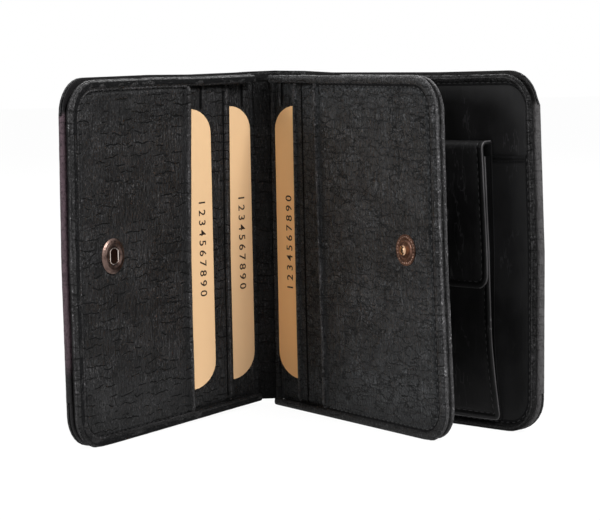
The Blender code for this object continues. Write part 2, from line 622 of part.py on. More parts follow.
def make_coin_flap(right):
    """The flap that hangs over the pouch's mouth and down its front, with its half of the press stud."""
    pivot = right.local(0, FLAP_PIVOT_DEPTH, FLAP_PIVOT_HEIGHT)
    flap = Board("coin_flap_pivot", pivot, 0, right.side, 0, right)

    def place_on(u, n, z):
        return (u, n - FLAP_PIVOT_DEPTH, z - FLAP_PIVOT_HEIGHT)

    def inner(z):
        return pouch_face(z) + FLAP_CLEARANCE

    under = FLAP_TOP - FLAP_THICKNESS
    section = [(POUCH_BACK_LOW, under), (POUCH_BACK_LOW, FLAP_TOP),
               (inner(FLAP_TOP) + FLAP_THICKNESS, FLAP_TOP), (inner(FLAP_FOOT) + FLAP_THICKNESS, FLAP_FOOT),
               (inner(FLAP_FOOT), FLAP_FOOT), (inner(under), under)]
    section = [place_on(0, n, z)[1:] for n, z in section]
    made = section_run("coin_flap", flap, section, POUCH_MARGIN, POUCH_RIGHT)
    round_edges(made)
    radius = FLAP_CORNER_RADIUS
    shape = [(POUCH_MARGIN, FLAP_TOP + OVERRUN)]
    shape += arc((POUCH_MARGIN + radius, FLAP_FOOT + radius), (radius, radius), 180, 270)
    shape += arc((POUCH_RIGHT - radius, FLAP_FOOT + radius), (radius, radius), 270, 360)
    shape.append((POUCH_RIGHT, FLAP_TOP + OVERRUN))
    shape = [(u, z - FLAP_PIVOT_HEIGHT) for u, z in shape]
    outline = layer("coin_flap_outline", flap, shape, -FLAP_FACE, FLAP_FACE, None)
    boolean(made, outline, "INTERSECT")
    z = FLAP_TOP - FLAP_SNAP_DROP
    place = place_on((POUCH_MARGIN + POUCH_RIGHT) / 2, inner(z), z)
    lean = math.atan(POUCH_SLOPE)
    wall = FLAP_THICKNESS * math.cos(lean)
    hole = FLAP_RING_RADIUS + SHANK_PLAY
    through = [(0, -OVERRUN), (hole, -OVERRUN), (hole, wall + OVERRUN), (0, wall + OVERRUN)]
    boolean(made, turned("coin_flap_cut", flap, place, through, SMALL_TURN_STEPS, None, lean))
    ring = [(FLAP_RING_BORE, 0), (FLAP_RING_RADIUS, 0), (FLAP_RING_RADIUS, FLAP_RING_HEIGHT),
            (FLAP_RING_BORE, FLAP_RING_HEIGHT)]
    turned("flap_snap_socket", flap, place, ring, SMALL_TURN_STEPS, "copper", lean)
    cap = [(0, wall + SEAT_GAP), (FLAP_CAP_RADIUS, wall + SEAT_GAP)]
    cap += [(FLAP_CAP_RADIUS * r, wall + SEAT_GAP + FLAP_CAP_HEIGHT * h) for r, h in DOME_SHARES]
    turned("flap_snap_cap", flap, place, cap, SMALL_TURN_STEPS, "copper", lean)


def main():
    clear_scene()
    half = SPINE_WIDTH / 2
    spine = Board("spine", (0, 0, 0), 0, -1, FOLD_AXIS_DEPTH)
    left = Board("left_board", (-half, 0, 0), SHUT_AZIMUTH_DEG - LEFT_OPEN_DEG, 1, FOLD_AXIS_DEPTH)
    right = Board("right_board", (half, 0, 0), SHUT_AZIMUTH_DEG + RIGHT_OPEN_DEG, -1, FOLD_AXIS_DEPTH)
    leaf_axis = (LEAF_HINGE_PLACE - half, -LEAF_HINGE_DEPTH, 0)
    leaf = Board("leaf", leaf_axis, SHUT_AZIMUTH_DEG + LEAF_OPEN_DEG, -1, 0)
    make_spine(spine)
    make_cover("left", left)
    make_snap_socket(left, make_left_pockets(left))
    make_leaf_hinge(leaf)
    make_snap_stud(leaf, make_leaf(leaf))
    make_cover("right", right)
    make_right_panel(right)
    make_coin_pouch(right)
    make_coin_flap(right)


main()
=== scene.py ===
"""Dressed model of an open card wallet: boards, a centre leaf, cards, press studs and a coin pouch."""
import math

import bpy
import numpy as np
from mathutils import Matrix, Vector


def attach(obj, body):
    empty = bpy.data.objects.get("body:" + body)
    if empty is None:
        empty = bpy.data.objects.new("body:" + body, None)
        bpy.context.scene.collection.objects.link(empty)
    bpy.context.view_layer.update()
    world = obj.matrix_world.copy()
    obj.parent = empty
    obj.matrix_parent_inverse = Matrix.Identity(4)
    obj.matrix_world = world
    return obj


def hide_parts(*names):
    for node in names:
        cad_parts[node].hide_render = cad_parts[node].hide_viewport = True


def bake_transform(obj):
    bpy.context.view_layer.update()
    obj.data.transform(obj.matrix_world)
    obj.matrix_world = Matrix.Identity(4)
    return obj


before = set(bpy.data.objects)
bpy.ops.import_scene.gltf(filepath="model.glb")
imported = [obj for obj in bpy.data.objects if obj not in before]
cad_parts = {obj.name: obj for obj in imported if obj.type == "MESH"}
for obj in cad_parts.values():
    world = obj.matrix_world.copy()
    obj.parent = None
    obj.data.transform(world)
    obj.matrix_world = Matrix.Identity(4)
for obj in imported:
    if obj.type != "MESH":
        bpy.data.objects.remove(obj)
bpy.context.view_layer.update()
MM = 0.001

# Camera
camera_data = bpy.data.cameras.new("camera")
camera = bpy.data.objects.new("camera", camera_data)
bpy.context.scene.collection.objects.link(camera)
bpy.context.scene.camera = camera
camera_data.sensor_width = 36.0
camera_data.lens = 129.56
camera_data.clip_start = 0.01
heading, dip, roll = math.radians(84.85), 0.1044, -0.0188
look = Vector((math.cos(heading) * math.cos(dip), math.sin(heading) * math.cos(dip), -math.sin(dip)))
turn = look.to_track_quat("-Z", "Y").to_matrix() @ Matrix.Rotation(roll, 3, "Z")
camera.matrix_world = Matrix.Translation(Vector((-54.58, -681.62, 117.27)) * MM) @ turn.to_4x4()

# Board frames, in millimetres: u runs out from the fold, n goes in through the layers, z is height
HALF_SPINE = 9.525
FOLD_AXIS_DEPTH = 0.45
HINGE_X, HINGE_Y = -0.95, -2.45
LEFT_TURN, RIGHT_TURN, LEAF_TURN = 230.75, 311.35, 299.0
BOARD_WIDTH, COVER_HEIGHT, PANEL_HEIGHT = 92.0, 106.0, 105.0
LEAF_WIDTH, LEAF_HEIGHT = 87.6, 104.5
CORNER = 10.0
EDGE_SWELL = 0.6
MOUTH_INNER, MOUTH_OUTER = 14.5, 37.0
LEAF_MOUTH_INNER, LEAF_MOUTH_OUTER = 12.8, 27.0
LEFT_FACE, LEAF_FACE = 4.85, 1.975
COVER_STEP = 96.5
SLIP_HEIGHT = 81.0
POUCH_START, POUCH_END, POUCH_DROP, POUCH_SPREAD = 15, 77, 78, 2.8
SNAP_HEIGHT, RING_PLACE, STUD_PLACE = 54.5, 73.75, 71.3
# Where the short creases above the cards run, how far down and up sewn lines and creases go, and where a
# pocket's mouth is rolled and sewn, as distances from its edge
LEFT_TUCK, BACK_TUCK, LEAF_TUCK = 26.8, 3.2, 3.3
SEAM_FOOT, SEAM_TOP, LEAF_SEAM_TOP = 2.6, 102.4, 102.0
CREASE_START, CREASE_FADE = 94.5, 1.5
MOUTH_ROLL, MOUTH_SEAM = 1.3, 3.1
# How far each board's free edge leans outwards at its foot, its middle and its top
LEFT_LEAN, RIGHT_LEAN = (-1.4, -0.9, -1.8), (0.3, 1.0, -0.5)
LEAF_LEAN, NO_LEAN = (1.4, -1.5, -2.8), (0.0, 0.0, 0.0)
# How far the leather has crept up at its foot and sunk at its top, at distances from the crease
LEFT_EASE = (((-10, 0, 75), (1.3, 1.3, 0.0)), ((-10, 5, 30, 50), (0.1, 0.4, 0.4, 0.0)))
RIGHT_EASE = (((-10, 0, 12), (1.2, 0.6, 0.0)), ((-10, 0, 12, 55, 88), (0.1, 0.4, 0.9, 0.9, 0.3)))
SPINE_EASE = (((-10, 10), (1.3, 1.2)), ((-10, 10), (0.1, 0.1)))
NO_EASE = (((0, 1), (0.0, 0.0)), ((0, 1), (0.0, 0.0)))


def leaned(u, z, lean):
    """The distance along a board once its leather has eased out of square."""
    return u + np.interp(z, (0, 53, 105), lean) * np.clip(u / BOARD_WIDTH, 0, 1.1)


def eased(u, z, ease):
    """The height once the foot has crept up and the top has sunk."""
    lift, sag = ease
    low, high = np.clip(1 - z / 60, 0, 1) ** 2, np.clip(z / 105, 0, 1) ** 3
    return z + np.interp(u, *lift) * low - np.interp(u, *sag) * high


def board_frame(x, y, azimuth, side, axis_depth, lean=NO_LEAN, ease=NO_EASE):
    """A function from (u, n, z) on a board to the wallet's own axes, in millimetres."""
    c, s = math.cos(math.radians(azimuth)), math.sin(math.radians(azimuth))

    def place(u, n, z):
        u, n, z = np.broadcast_arrays(np.asarray(u, float), np.asarray(n, float), np.asarray(z, float))
        u, z = leaned(u, z, lean), eased(u, z, ease)
        v = side * (n - axis_depth)
        return np.stack([x + u * c - v * s, y + u * s + v * c, z], axis=-1)

    return place


left = board_frame(-HALF_SPINE, 0, LEFT_TURN, 1, FOLD_AXIS_DEPTH, LEFT_LEAN, LEFT_EASE)
right = board_frame(HALF_SPINE, 0, RIGHT_TURN, -1, FOLD_AXIS_DEPTH, RIGHT_LEAN, RIGHT_EASE)
leaf = board_frame(HINGE_X, HINGE_Y, LEAF_TURN, -1, 0, LEAF_LEAN)
spine = board_frame(0, 0, 0, -1, FOLD_AXIS_DEPTH, NO_LEAN, SPINE_EASE)
# The cards and press studs stay square, as the frame has them
left_square = board_frame(-HALF_SPINE, 0, LEFT_TURN, 1, FOLD_AXIS_DEPTH)
leaf_square = board_frame(HINGE_X, HINGE_Y, LEAF_TURN, -1, 0)


def cover_frame(side):
    """The outer leather's path: half the spine, a soft bend at the crease (u is 0 there), then the board."""
    sign = -1 if side == "left" else 1
    azimuth = math.radians(LEFT_TURN if side == "left" else RIGHT_TURN)
    start = np.array([sign, 0.0])
    ahead = np.array([math.cos(azimuth), math.sin(azimuth)])
    crease = np.array([sign * HALF_SPINE, 0.0])
    reach = 1.8
    lean, ease = (LEFT_LEAN, LEFT_EASE) if side == "left" else (RIGHT_LEAN, RIGHT_EASE)

    def place(u, n, z):
        u, n, z = np.broadcast_arrays(np.asarray(u, float), np.asarray(n, float), np.asarray(z, float))
        u, z = leaned(u, z, lean), eased(u, z, ease)
        w = np.clip((u + reach) / (2 * reach), 0, 1)
        before = crease + np.minimum(u, reach)[..., None] * start
        after = crease + np.maximum(u, -reach)[..., None] * ahead
        a, b, mid = crease - reach * start, crease + reach * ahead, crease
        bend = ((1 - w) ** 2)[..., None] * a + (2 * w * (1 - w))[..., None] * mid + (w ** 2)[..., None] * b
        flat = np.where((u < -reach)[..., None], before, np.where((u > reach)[..., None], after, bend))
        along = start * (1 - w)[..., None] + ahead * w[..., None]
        along /= np.linalg.norm(along, axis=-1, keepdims=True)
        out = sign * np.stack([-along[..., 1], along[..., 0]], axis=-1)
        flat = flat - out * (n - FOLD_AXIS_DEPTH)[..., None]
        return np.concatenate([flat, z[..., None]], axis=-1)

    return place


# Surface relief
def lattice(u, z, cell_u, cell_z, seed):
    """Smooth random field between -1 and 1, with cells of the given size."""
    table = np.random.RandomState(seed).uniform(-1, 1, (64, 64))
    x, y = np.asarray(u) / cell_u + 16.3, np.asarray(z) / cell_z + 7.7
    i, j = np.floor(x).astype(int), np.floor(y).astype(int)
    fx, fy = x - i, y - j
    fx, fy = fx * fx * (3 - 2 * fx), fy * fy * (3 - 2 * fy)
    get = lambda a, b: table[a % 64, b % 64]
    low = get(i, j) * (1 - fx) + get(i + 1, j) * fx
    high = get(i, j + 1) * (1 - fx) + get(i + 1, j + 1) * fx
    return low * (1 - fy) + high * fy


def wrinkle(u, z, seed, height):
    """Fine upright crinkles over a slow unevenness."""
    fine = 1 - np.abs(lattice(u + 1.5 * lattice(u, z, 9, 14, seed + 3), z, 1.7, 9.0, seed))
    slow = lattice(u, z, 17.0, 23.0, seed + 1)
    return height * (0.45 * fine ** 3 + 0.55 * slow)


def ridge(x, centre, width):
    return np.exp(-((x - centre) / width) ** 2)


def at_edge(x, reach):
    """1 at an edge, fading to 0 within a few times the reach."""
    return np.exp(-np.maximum(x, 0) / reach)


def soft_wrinkle(u, z, d, seed, height):
    """Wrinkles that die out over the last 2 mm to the free sides."""
    return wrinkle(u, z, seed, height) * np.clip(d / 2, 0, 1)


def depth_in(u, z, end, foot, top, radius):
    """Distance in from a board's three free sides, whose corners are round."""
    qu = u - (end - radius)
    qz = np.abs(z - (foot + top) / 2) - ((top - foot) / 2 - radius)
    outside = np.hypot(np.maximum(qu, 0), np.maximum(qz, 0))
    return radius - outside - np.minimum(np.maximum(qu, qz), 0)


# Mesh makers
def link_mesh(name, points, faces, material, smooth=True):
    mesh = bpy.data.meshes.new(name)
    mesh.from_pydata((np.asarray(points) * MM).tolist(), [], faces)
    mesh.validate()
    mesh.materials.append(material)
    made = bpy.data.objects.new(name, mesh)
    bpy.context.scene.collection.objects.link(made)
    volume = signed_volume(mesh)
    if volume < 0:
        mesh.flip_normals()
    if smooth:
        mesh.shade_smooth()
        mesh.set_sharp_from_angle(angle=math.radians(50))
    return made


def signed_volume(mesh):
    mesh.calc_loop_triangles()
    points = np.empty(len(mesh.vertices) * 3, np.float32)
    mesh.vertices.foreach_get("co", points)
    corners = np.empty(len(mesh.loop_triangles) * 3, np.int32)
    mesh.loop_triangles.foreach_get("vertices", corners)
    return float(np.linalg.det(points.reshape(-1, 3)[corners.reshape(-1, 3)]).sum())


def rim_line(start, end, foot, top, radii, inset, stations, rows, turns):
    """Points along a board's top, free side and foot, set in by a distance."""
    top_r, foot_r = (max(r - inset, 0.02) for r in radii)
    span = end - inset
    upper = (span - top_r, top - inset - top_r)
    lower = (span - foot_r, foot + inset + foot_r)
    line = [(start + (upper[0] - start) * s, top - inset) for s in stations]
    for i in range(1, turns + 1):
        a = math.pi / 2 * (1 - i / turns)
        line.append((upper[0] + top_r * math.cos(a), upper[1] + top_r * math.sin(a)))
    for i in range(1, rows + 1):
        line.append((span, upper[1] + (lower[1] - upper[1]) * i / rows))
    for i in range(1, turns + 1):
        a = -math.pi / 2 * i / turns
        line.append((lower[0] + foot_r * math.cos(a), lower[1] + foot_r * math.sin(a)))
    line += [(start + (lower[0] - start) * s, foot + inset) for s in reversed(stations[:-1])]
    return line


def tube_faces(stations, around):
    """Faces of a capped tube whose points run along it, one line after the other."""
    faces = []
    for a in range(around):
        b = (a + 1) % around
        faces += [(a * stations + i, a * stations + i + 1, b * stations + i + 1, b * stations + i)
                  for i in range(stations - 1)]
    faces.append(tuple(a * stations for a in range(around)))
    faces.append(tuple(a * stations + stations - 1 for a in reversed(range(around))))
    return faces


# Distances at which a sheet has its points: in from the free sides, and from its mouth until it lies flat
RIM_STEPS = (0, 0.12, 0.3, 0.55, 0.85, 1.2, 1.6, 2.0, 2.4, 2.8, 3.2, 3.7, 4.5)
ROLL_STEPS, ROLL_REACH = (0, 0.15, 0.35, 0.65, 1.1, 1.7), 2.4


def note_painted_groove_shade(made, shares):
    """Notes on each point how far it lies down in a groove, from 0 to 1, for the leather's colour to be
    darkened there as painted shade.
    """
    shares = np.clip(np.asarray(shares, float), 0, 1)
    made.data.attributes.new("hollow", "FLOAT", "POINT").data.foreach_set("value", shares)


def leather_sheet(name, place, shape, front, back, material, step=1.4, rims=RIM_STEPS, turns=8, hollow=None):
    """A sheet with a front and a back face. shape is start, end, foot, top, top radius and foot radius;
    front, back and hollow are functions of (u, z, distance in from the free sides), hollow giving the share
    of painted shade."""
    start, end, foot, top, top_r, foot_r = shape
    length = end - max(top_r, rims[-1]) - start
    rest = length - ROLL_REACH
    count = max(int(rest / step), 3)
    stations = [x / length for x in ROLL_STEPS]
    stations += [(ROLL_REACH + rest * i / count) / length for i in range(count + 1)]
    rows = max(int((top - foot - top_r - foot_r) / step), 4)
    rings = [rim_line(start, end, foot, top, (top_r, foot_r), r, stations, rows, turns) for r in rims]
    m = len(rings[0])
    points = [p for ring in rings for p in ring]
    faces = []
    for k in range(len(rings) - 1):
        for i in range(m - 1):
            a, b = k * m + i, (k + 1) * m + i
            faces.append((a, a + 1, b + 1, b))
    last = np.array(rings[-1])
    base = (len(rings) - 1) * m
    across = len(stations) - 1 + turns // 2
    down = m - 1 - 2 * across
    upper, lower = last[:across + 1], last[::-1][:across + 1]
    free = last[across:across + down + 1]
    share = (free[:, 1] - free[0, 1]) / (free[-1, 1] - free[0, 1])
    fold = upper[0] + share[:, None] * (lower[0] - upper[0])
    index = np.zeros((across + 1, down + 1), int)
    for i in range(across + 1):
        for j in range(down + 1):
            if j == 0:
                index[i, j] = base + i
            elif j == down:
                index[i, j] = base + m - 1 - i
            elif i == across:
                index[i, j] = base + across + j
            else:
                a, b = i / across, share[j]
                grid = (1 - b) * upper[i] + b * lower[i] + (1 - a) * fold[j] + a * free[j]
                grid = grid - ((1 - a) * (1 - b) * upper[0] + a * (1 - b) * upper[-1]
                               + (1 - a) * b * lower[0] + a * b * lower[-1])
                index[i, j] = len(points)
                points.append(tuple(grid))
    for i in range(across):
        for j in range(down):
            faces.append((index[i, j], index[i + 1, j], index[i + 1, j + 1], index[i, j + 1]))
    points = np.array(points)
    u, z = points[:, 0], points[:, 1]
    inward = depth_in(u, z, end, foot, top, min(top_r, foot_r))
    n = len(points)
    face_points = place(u, front(u, z, inward), z)
    back_points = place(u, back(u, z, inward), z)
    loop = list(range(m)) + [k * m + m - 1 for k in range(1, len(rings))]
    loop += [index[0, j] for j in range(down - 1, 0, -1)] + [k * m for k in range(len(rings) - 1, 0, -1)]
    faces = [tuple(int(i) for i in f) for f in faces]
    faces += [tuple(int(i) + n for i in reversed(f)) for f in faces]
    for a, b in zip(loop, loop[1:] + loop[:1]):
        faces.append((int(b), int(a), int(a) + n, int(b) + n))
    made = link_mesh(name, np.concatenate([face_points, back_points]), faces, material)
    shares = hollow(u, z, inward) if hollow is not None else np.zeros(n)
    note_painted_groove_shade(made, np.concatenate([shares, shares]))
    return made


def rolled_edge(name, place, shape, section, material, seed, crinkle=0.05, step=1.3, turns=9):
    """A closed section of (distance in, depth) carried round a board's three free sides."""
    start, end, foot, top, top_r, foot_r = shape
    count = max(int((end - top_r - start) / step), 4)
    stations = [i / count for i in range(count + 1)]
    rows = int((top - foot - top_r - foot_r) / step)
    lines = [np.array(rim_line(start, end, foot, top, (top_r, foot_r), r, stations, rows, turns))
             for r, _ in section]
    m = len(lines[0])
    points = []
    middle = np.mean([n for _, n in section])
    along = np.arange(m) * step
    for line, (r, n) in zip(lines, section):
        lift = crinkle * lattice(along * 0.0 + r * 3, along, 1.3, 1.6, seed) * np.sign(n - middle)
        slow = lattice(along * 0.0 + r, along, 2.0, 7.0, seed + 5)
        lift = lift + 0.6 * crinkle * slow * np.sign(n - middle)
        points.append(place(line[:, 0], n + lift, line[:, 1]))
    made = link_mesh(name, np.concatenate(points), tube_faces(m, len(section)), material)
    # Painted shade: the roll's points that lie lowest, at its seat under the lobe, are darkened
    depths = np.abs(np.array([n for _, n in section]))
    low, high = depths.min(), depths.max()
    shares = 1 - np.clip((depths - low) / (0.55 * (high - low)), 0, 1)
    note_painted_groove_shade(made, np.repeat(shares, m))
    return made


def roll_section(low, high, width, seat=1.9):
    """A padded roll's section: a flat seat below and a rounded lobe that laps over the leather inside."""
    shoulder = max(high - 0.9, low + 0.15)
    section = [(0.0, shoulder), (0.08, low + 0.25), (0.45, low), (seat, low), (seat, shoulder)]
    steps = 16
    for i in range(steps + 1):
        a = math.pi * (1 - i / steps)
        lobe = shoulder + 0.04 + (high - shoulder) * math.sin(a) ** 0.7
        section.append((width / 2 * (1 - math.cos(a)), lobe))
    return section


# Shader groups
def new_group(name, inputs, outputs):
    tree = bpy.data.node_groups.new(name, "ShaderNodeTree")
    for label, kind, value in inputs:
        socket = tree.interface.new_socket(name=label, in_out="INPUT", socket_type=kind)
        if value is not None:
            socket.default_value = value
    for label, kind in outputs:
        tree.interface.new_socket(name=label, in_out="OUTPUT", socket_type=kind)
    return tree, tree.nodes.new("NodeGroupInput"), tree.nodes.new("NodeGroupOutput")


FLOAT, VECTOR = "NodeSocketFloat", "NodeSocketVector"


def maths(tree, kind, a, b=None, clamp=False):
    node = tree.nodes.new("ShaderNodeMath")
    node.operation = kind
    node.use_clamp = clamp
    for socket, value in zip(node.inputs, (a, b)):
        if isinstance(value, (int, float)):
            socket.default_value = value
        elif value is not None:
            tree.links.new(value, socket)
    return node.outputs[0]


def times(tree, a, b):
    return maths(tree, "MULTIPLY", a, b)


def plus(tree, a, b, clamp=False):
    return maths(tree, "ADD", a, b, clamp)


def larger(tree, a, b, clamp=False):
    return maths(tree, "MAXIMUM", a, b, clamp)


def height_of(tree, vector):
    """A point's height."""
    split = tree.nodes.new("ShaderNodeSeparateXYZ")
    tree.links.new(vector, split.inputs[0])
    return split.outputs["Z"]


def painted_groove_shade(tree):
    """How far the point lies down in a groove, as noted on its points: the share of painted shade there."""
    node = tree.nodes.new("ShaderNodeAttribute")
    node.attribute_name = "hollow"
    return node.outputs["Fac"]


def remap(tree, value, low, high, to_low=0.0, to_high=1.0):
    node = tree.nodes.new("ShaderNodeMapRange")
    node.interpolation_type = "SMOOTHSTEP"
    tree.links.new(value, node.inputs["Value"])
    for label, setting in (("From Min", low), ("From Max", high), ("To Min", to_low), ("To Max", to_high)):
        if isinstance(setting, (int, float)):
            node.inputs[label].default_value = setting
        else:
            tree.links.new(setting, node.inputs[label])
    return node.outputs["Result"]


def scaled(tree, vector, across, up):
    """A point in metres turned into counts of cells across and up."""
    node = tree.nodes.new("ShaderNodeVectorMath")
    node.operation = "MULTIPLY"
    tree.links.new(vector, node.inputs[0])
    size = tree.nodes.new("ShaderNodeCombineXYZ")
    for label, value in (("X", across), ("Y", across), ("Z", up)):
        if isinstance(value, (int, float)):
            size.inputs[label].default_value = value
        else:
            tree.links.new(value, size.inputs[label])
    tree.links.new(size.outputs[0], node.inputs[1])
    return node.outputs[0]


def noise(tree, vector, scale=1.0, detail=2.0, rough=0.5, colour=False):
    node = tree.nodes.new("ShaderNodeTexNoise")
    node.inputs["Scale"].default_value = scale
    node.inputs["Detail"].default_value = detail
    node.inputs["Roughness"].default_value = rough
    tree.links.new(vector, node.inputs["Vector"])
    return node.outputs["Color" if colour else "Fac"]


def cells(tree, vector, scale):
    node = tree.nodes.new("ShaderNodeTexVoronoi")
    node.feature = "DISTANCE_TO_EDGE"
    node.inputs["Scale"].default_value = scale
    tree.links.new(vector, node.inputs["Vector"])
    return node.outputs["Distance"]


def bent(tree, vector, scale, amount):
    """The vector pushed about by noise, so that cell edges run crooked."""
    colour = noise(tree, vector, scale, 3.0, 0.6, colour=True)
    shift = tree.nodes.new("ShaderNodeVectorMath")
    shift.operation = "MULTIPLY_ADD"
    tree.links.new(colour, shift.inputs[0])
    shift.inputs[1].default_value = (amount,) * 3
    tree.links.new(vector, shift.inputs[2])
    return shift.outputs[0]


def stepped_cells(tree, vector, scale):
    """Distance from the nearest cell edge, where the edges run level and upright in steps."""
    near, next_near = (tree.nodes.new("ShaderNodeTexVoronoi") for _ in range(2))
    near.feature, next_near.feature = "F1", "F2"
    for node in (near, next_near):
        node.distance = "MANHATTAN"
        node.inputs["Scale"].default_value = scale
        tree.links.new(vector, node.inputs["Vector"])
    return maths(tree, "SUBTRACT", next_near.outputs["Distance"], near.outputs["Distance"])


def level_dashes(tree, vector, rows):
    """Short level cracks: rows of lines, out of step from one patch to the next and broken by gaps."""
    patch = tree.nodes.new("ShaderNodeTexVoronoi")
    tree.links.new(scaled(tree, vector, 150.0, 130.0), patch.inputs["Vector"])
    patch.inputs["Scale"].default_value = 1.0
    jump = tree.nodes.new("ShaderNodeSeparateColor")
    tree.links.new(patch.outputs["Color"], jump.inputs[0])
    height = plus(tree, times(tree, height_of(tree, vector), rows), jump.outputs[0])
    for across, amount in ((190.0, 0.9), (900.0, 0.16)):
        wave = noise(tree, scaled(tree, vector, across, across), 1.0, 1.0)
        height = plus(tree, height, times(tree, wave, amount))
    off_line = maths(tree, "ABSOLUTE", maths(tree, "SUBTRACT", maths(tree, "FRACT", height), 0.5))
    line = remap(tree, off_line, 0.025, 0.10, 1.0, 0.0)
    kept = remap(tree, jump.outputs[1], 0.22, 0.30)
    broken = remap(tree, noise(tree, scaled(tree, vector, 260.0, 380.0), 1.0, 2.0), 0.37, 0.50)
    return times(tree, line, times(tree, kept, broken))


def upright_joins(tree, vector):
    """Thin upright cracks between the level ones."""
    tall = cells(tree, bent(tree, scaled(tree, vector, 260.0, 75.0), 3.0, 0.35), 1.0)
    line = remap(tree, tall, 0.0, 0.07, 1.0, 0.0)
    return times(tree, line, remap(tree, noise(tree, scaled(tree, vector, 230.0, 230.0), 1.0, 2.0),
                                               0.42, 0.54))


def make_crackle():
    """Embossed crackle grain: a crooked web and level dashes of cracks, upright crinkles, pale specks, and
    painted glints along the tops of the crinkles.
    """
    tree, given, out = new_group(
        "crackle_grain",
        [("Vector", VECTOR, None), ("Across", FLOAT, 150.0), ("Up", FLOAT, 450.0),
         ("Crack Width", FLOAT, 0.06), ("Crinkle", FLOAT, 0.5), ("Web", FLOAT, 0.5), ("Dashes", FLOAT, 0.5)],
        [("Height", FLOAT), ("Cracks", FLOAT), ("Specks", FLOAT)],
    )
    vector = given.outputs["Vector"]
    point = scaled(tree, vector, given.outputs["Across"], given.outputs["Up"])
    edge = stepped_cells(tree, bent(tree, point, 2.2, 0.7), 1.0)
    web = remap(tree, edge, 0.0, given.outputs["Crack Width"], 1.0, 0.0)
    web = times(tree, web, remap(tree, noise(tree, point, 0.9, 2.0), 0.36, 0.50))
    web = times(tree, web, given.outputs["Web"])
    dashes = larger(tree, level_dashes(tree, vector, 330.0),
                   times(tree, upright_joins(tree, vector), 0.6))
    dashes = times(tree, dashes, given.outputs["Dashes"])
    cracks = larger(tree, web, dashes)
    upright = scaled(tree, vector, 1300.0, 270.0)
    streaks = noise(tree, bent(tree, upright, 0.5, 1.2), 1.0, 3.0, 0.6)
    height = times(tree, streaks, given.outputs["Crinkle"])
    height = plus(tree, height, times(tree, remap(tree, edge, 0.0, 0.4),
                                              times(tree, given.outputs["Web"], 0.35)))
    height = maths(tree, "SUBTRACT", height, cracks)
    tiny = noise(tree, scaled(tree, vector, 2600.0, 2600.0), 1.0, 2.0, 0.7)
    height = plus(tree, height, times(tree, tiny, 0.25))
    # worn: slow patches where the pale specks and the painted glints come out more
    worn = remap(tree, noise(tree, point, 0.55, 2.0), 0.44, 0.60)
    # Painted glints: pale marks along the tops of the upright crinkles, standing for the lamps' glints on
    # the grain
    painted_glint = times(tree, remap(tree, streaks, 0.56, 0.70), plus(tree, 0.25, worn))
    fleck = noise(tree, scaled(tree, vector, 1900.0, 1600.0), 1.0, 1.0, 0.6)
    pits = times(tree, remap(tree, fleck, 0.31, 0.41, 1.0, 0.0), 0.75)
    cracks = larger(tree, cracks, pits)
    # Pale specks: partly fine flecks in the grain, partly painted glints
    speck = times(tree, larger(tree, remap(tree, tiny, 0.62, 0.72),
                                          remap(tree, fleck, 0.60, 0.68)), plus(tree, 0.40, worn))
    tree.links.new(height, out.inputs["Height"])
    tree.links.new(plus(tree, cracks, 0.0, clamp=True), out.inputs["Cracks"])
    # The Specks output carries the pale specks and the painted glints together
    tree.links.new(larger(tree, speck, times(tree, painted_glint, 0.6), clamp=True),
                   out.inputs["Specks"])
    return tree


def make_patches():
    """Slow unevenness of colour, from 0 to 1."""
    tree, given, out = new_group("slow_patches", [("Vector", VECTOR, None), ("Size", FLOAT, 60.0)],
                                 [("Patches", FLOAT)])
    point = scaled(tree, given.outputs["Vector"], given.outputs["Size"], given.outputs["Size"])
    tree.links.new(remap(tree, noise(tree, point, 1.0, 3.0, 0.55), 0.32, 0.68), out.inputs["Patches"])
    return tree


CRACKLE, PATCHES = make_crackle(), make_patches()
SPECK_SHARE = 0.80


def place_group(tree, group, values):
    node = tree.nodes.new("ShaderNodeGroup")
    node.node_tree = group
    for label, value in values.items():
        if isinstance(value, (int, float)):
            node.inputs[label].default_value = value
        else:
            tree.links.new(value, node.inputs[label])
    return node


def blend_colour(tree, share, a, b):
    node = tree.nodes.new("ShaderNodeMix")
    node.data_type = "RGBA"
    sockets = [s for s in node.inputs if s.enabled]
    for socket, value in zip(sockets, (share, a, b)):
        if isinstance(value, (int, float)):
            socket.default_value = value
        elif isinstance(value, tuple):
            socket.default_value = (*value, 1.0)
        else:
            tree.links.new(value, socket)
    return next(s for s in node.outputs if s.enabled)


def new_material(name, metallic=0.0, specular=0.5):
    made = bpy.data.materials.new(name)
    made.use_nodes = True
    tree = made.node_tree
    shader = tree.nodes["Principled BSDF"]
    shader.inputs["Metallic"].default_value = metallic
    shader.inputs["Specular IOR Level"].default_value = specular
    where = tree.nodes.new("ShaderNodeTexCoord").outputs["Object"]
    return made, tree, shader, where


def dress(tree, shader, colour, rough):
    tree.links.new(colour, shader.inputs["Base Color"])
    tree.links.new(rough, shader.inputs["Roughness"])


def add_bump(tree, shader, height, strength, distance):
    bump = tree.nodes.new("ShaderNodeBump")
    bump.inputs["Strength"].default_value = strength
    bump.inputs["Distance"].default_value = distance
    tree.links.new(height, bump.inputs["Height"])
    tree.links.new(bump.outputs["Normal"], shader.inputs["Normal"])


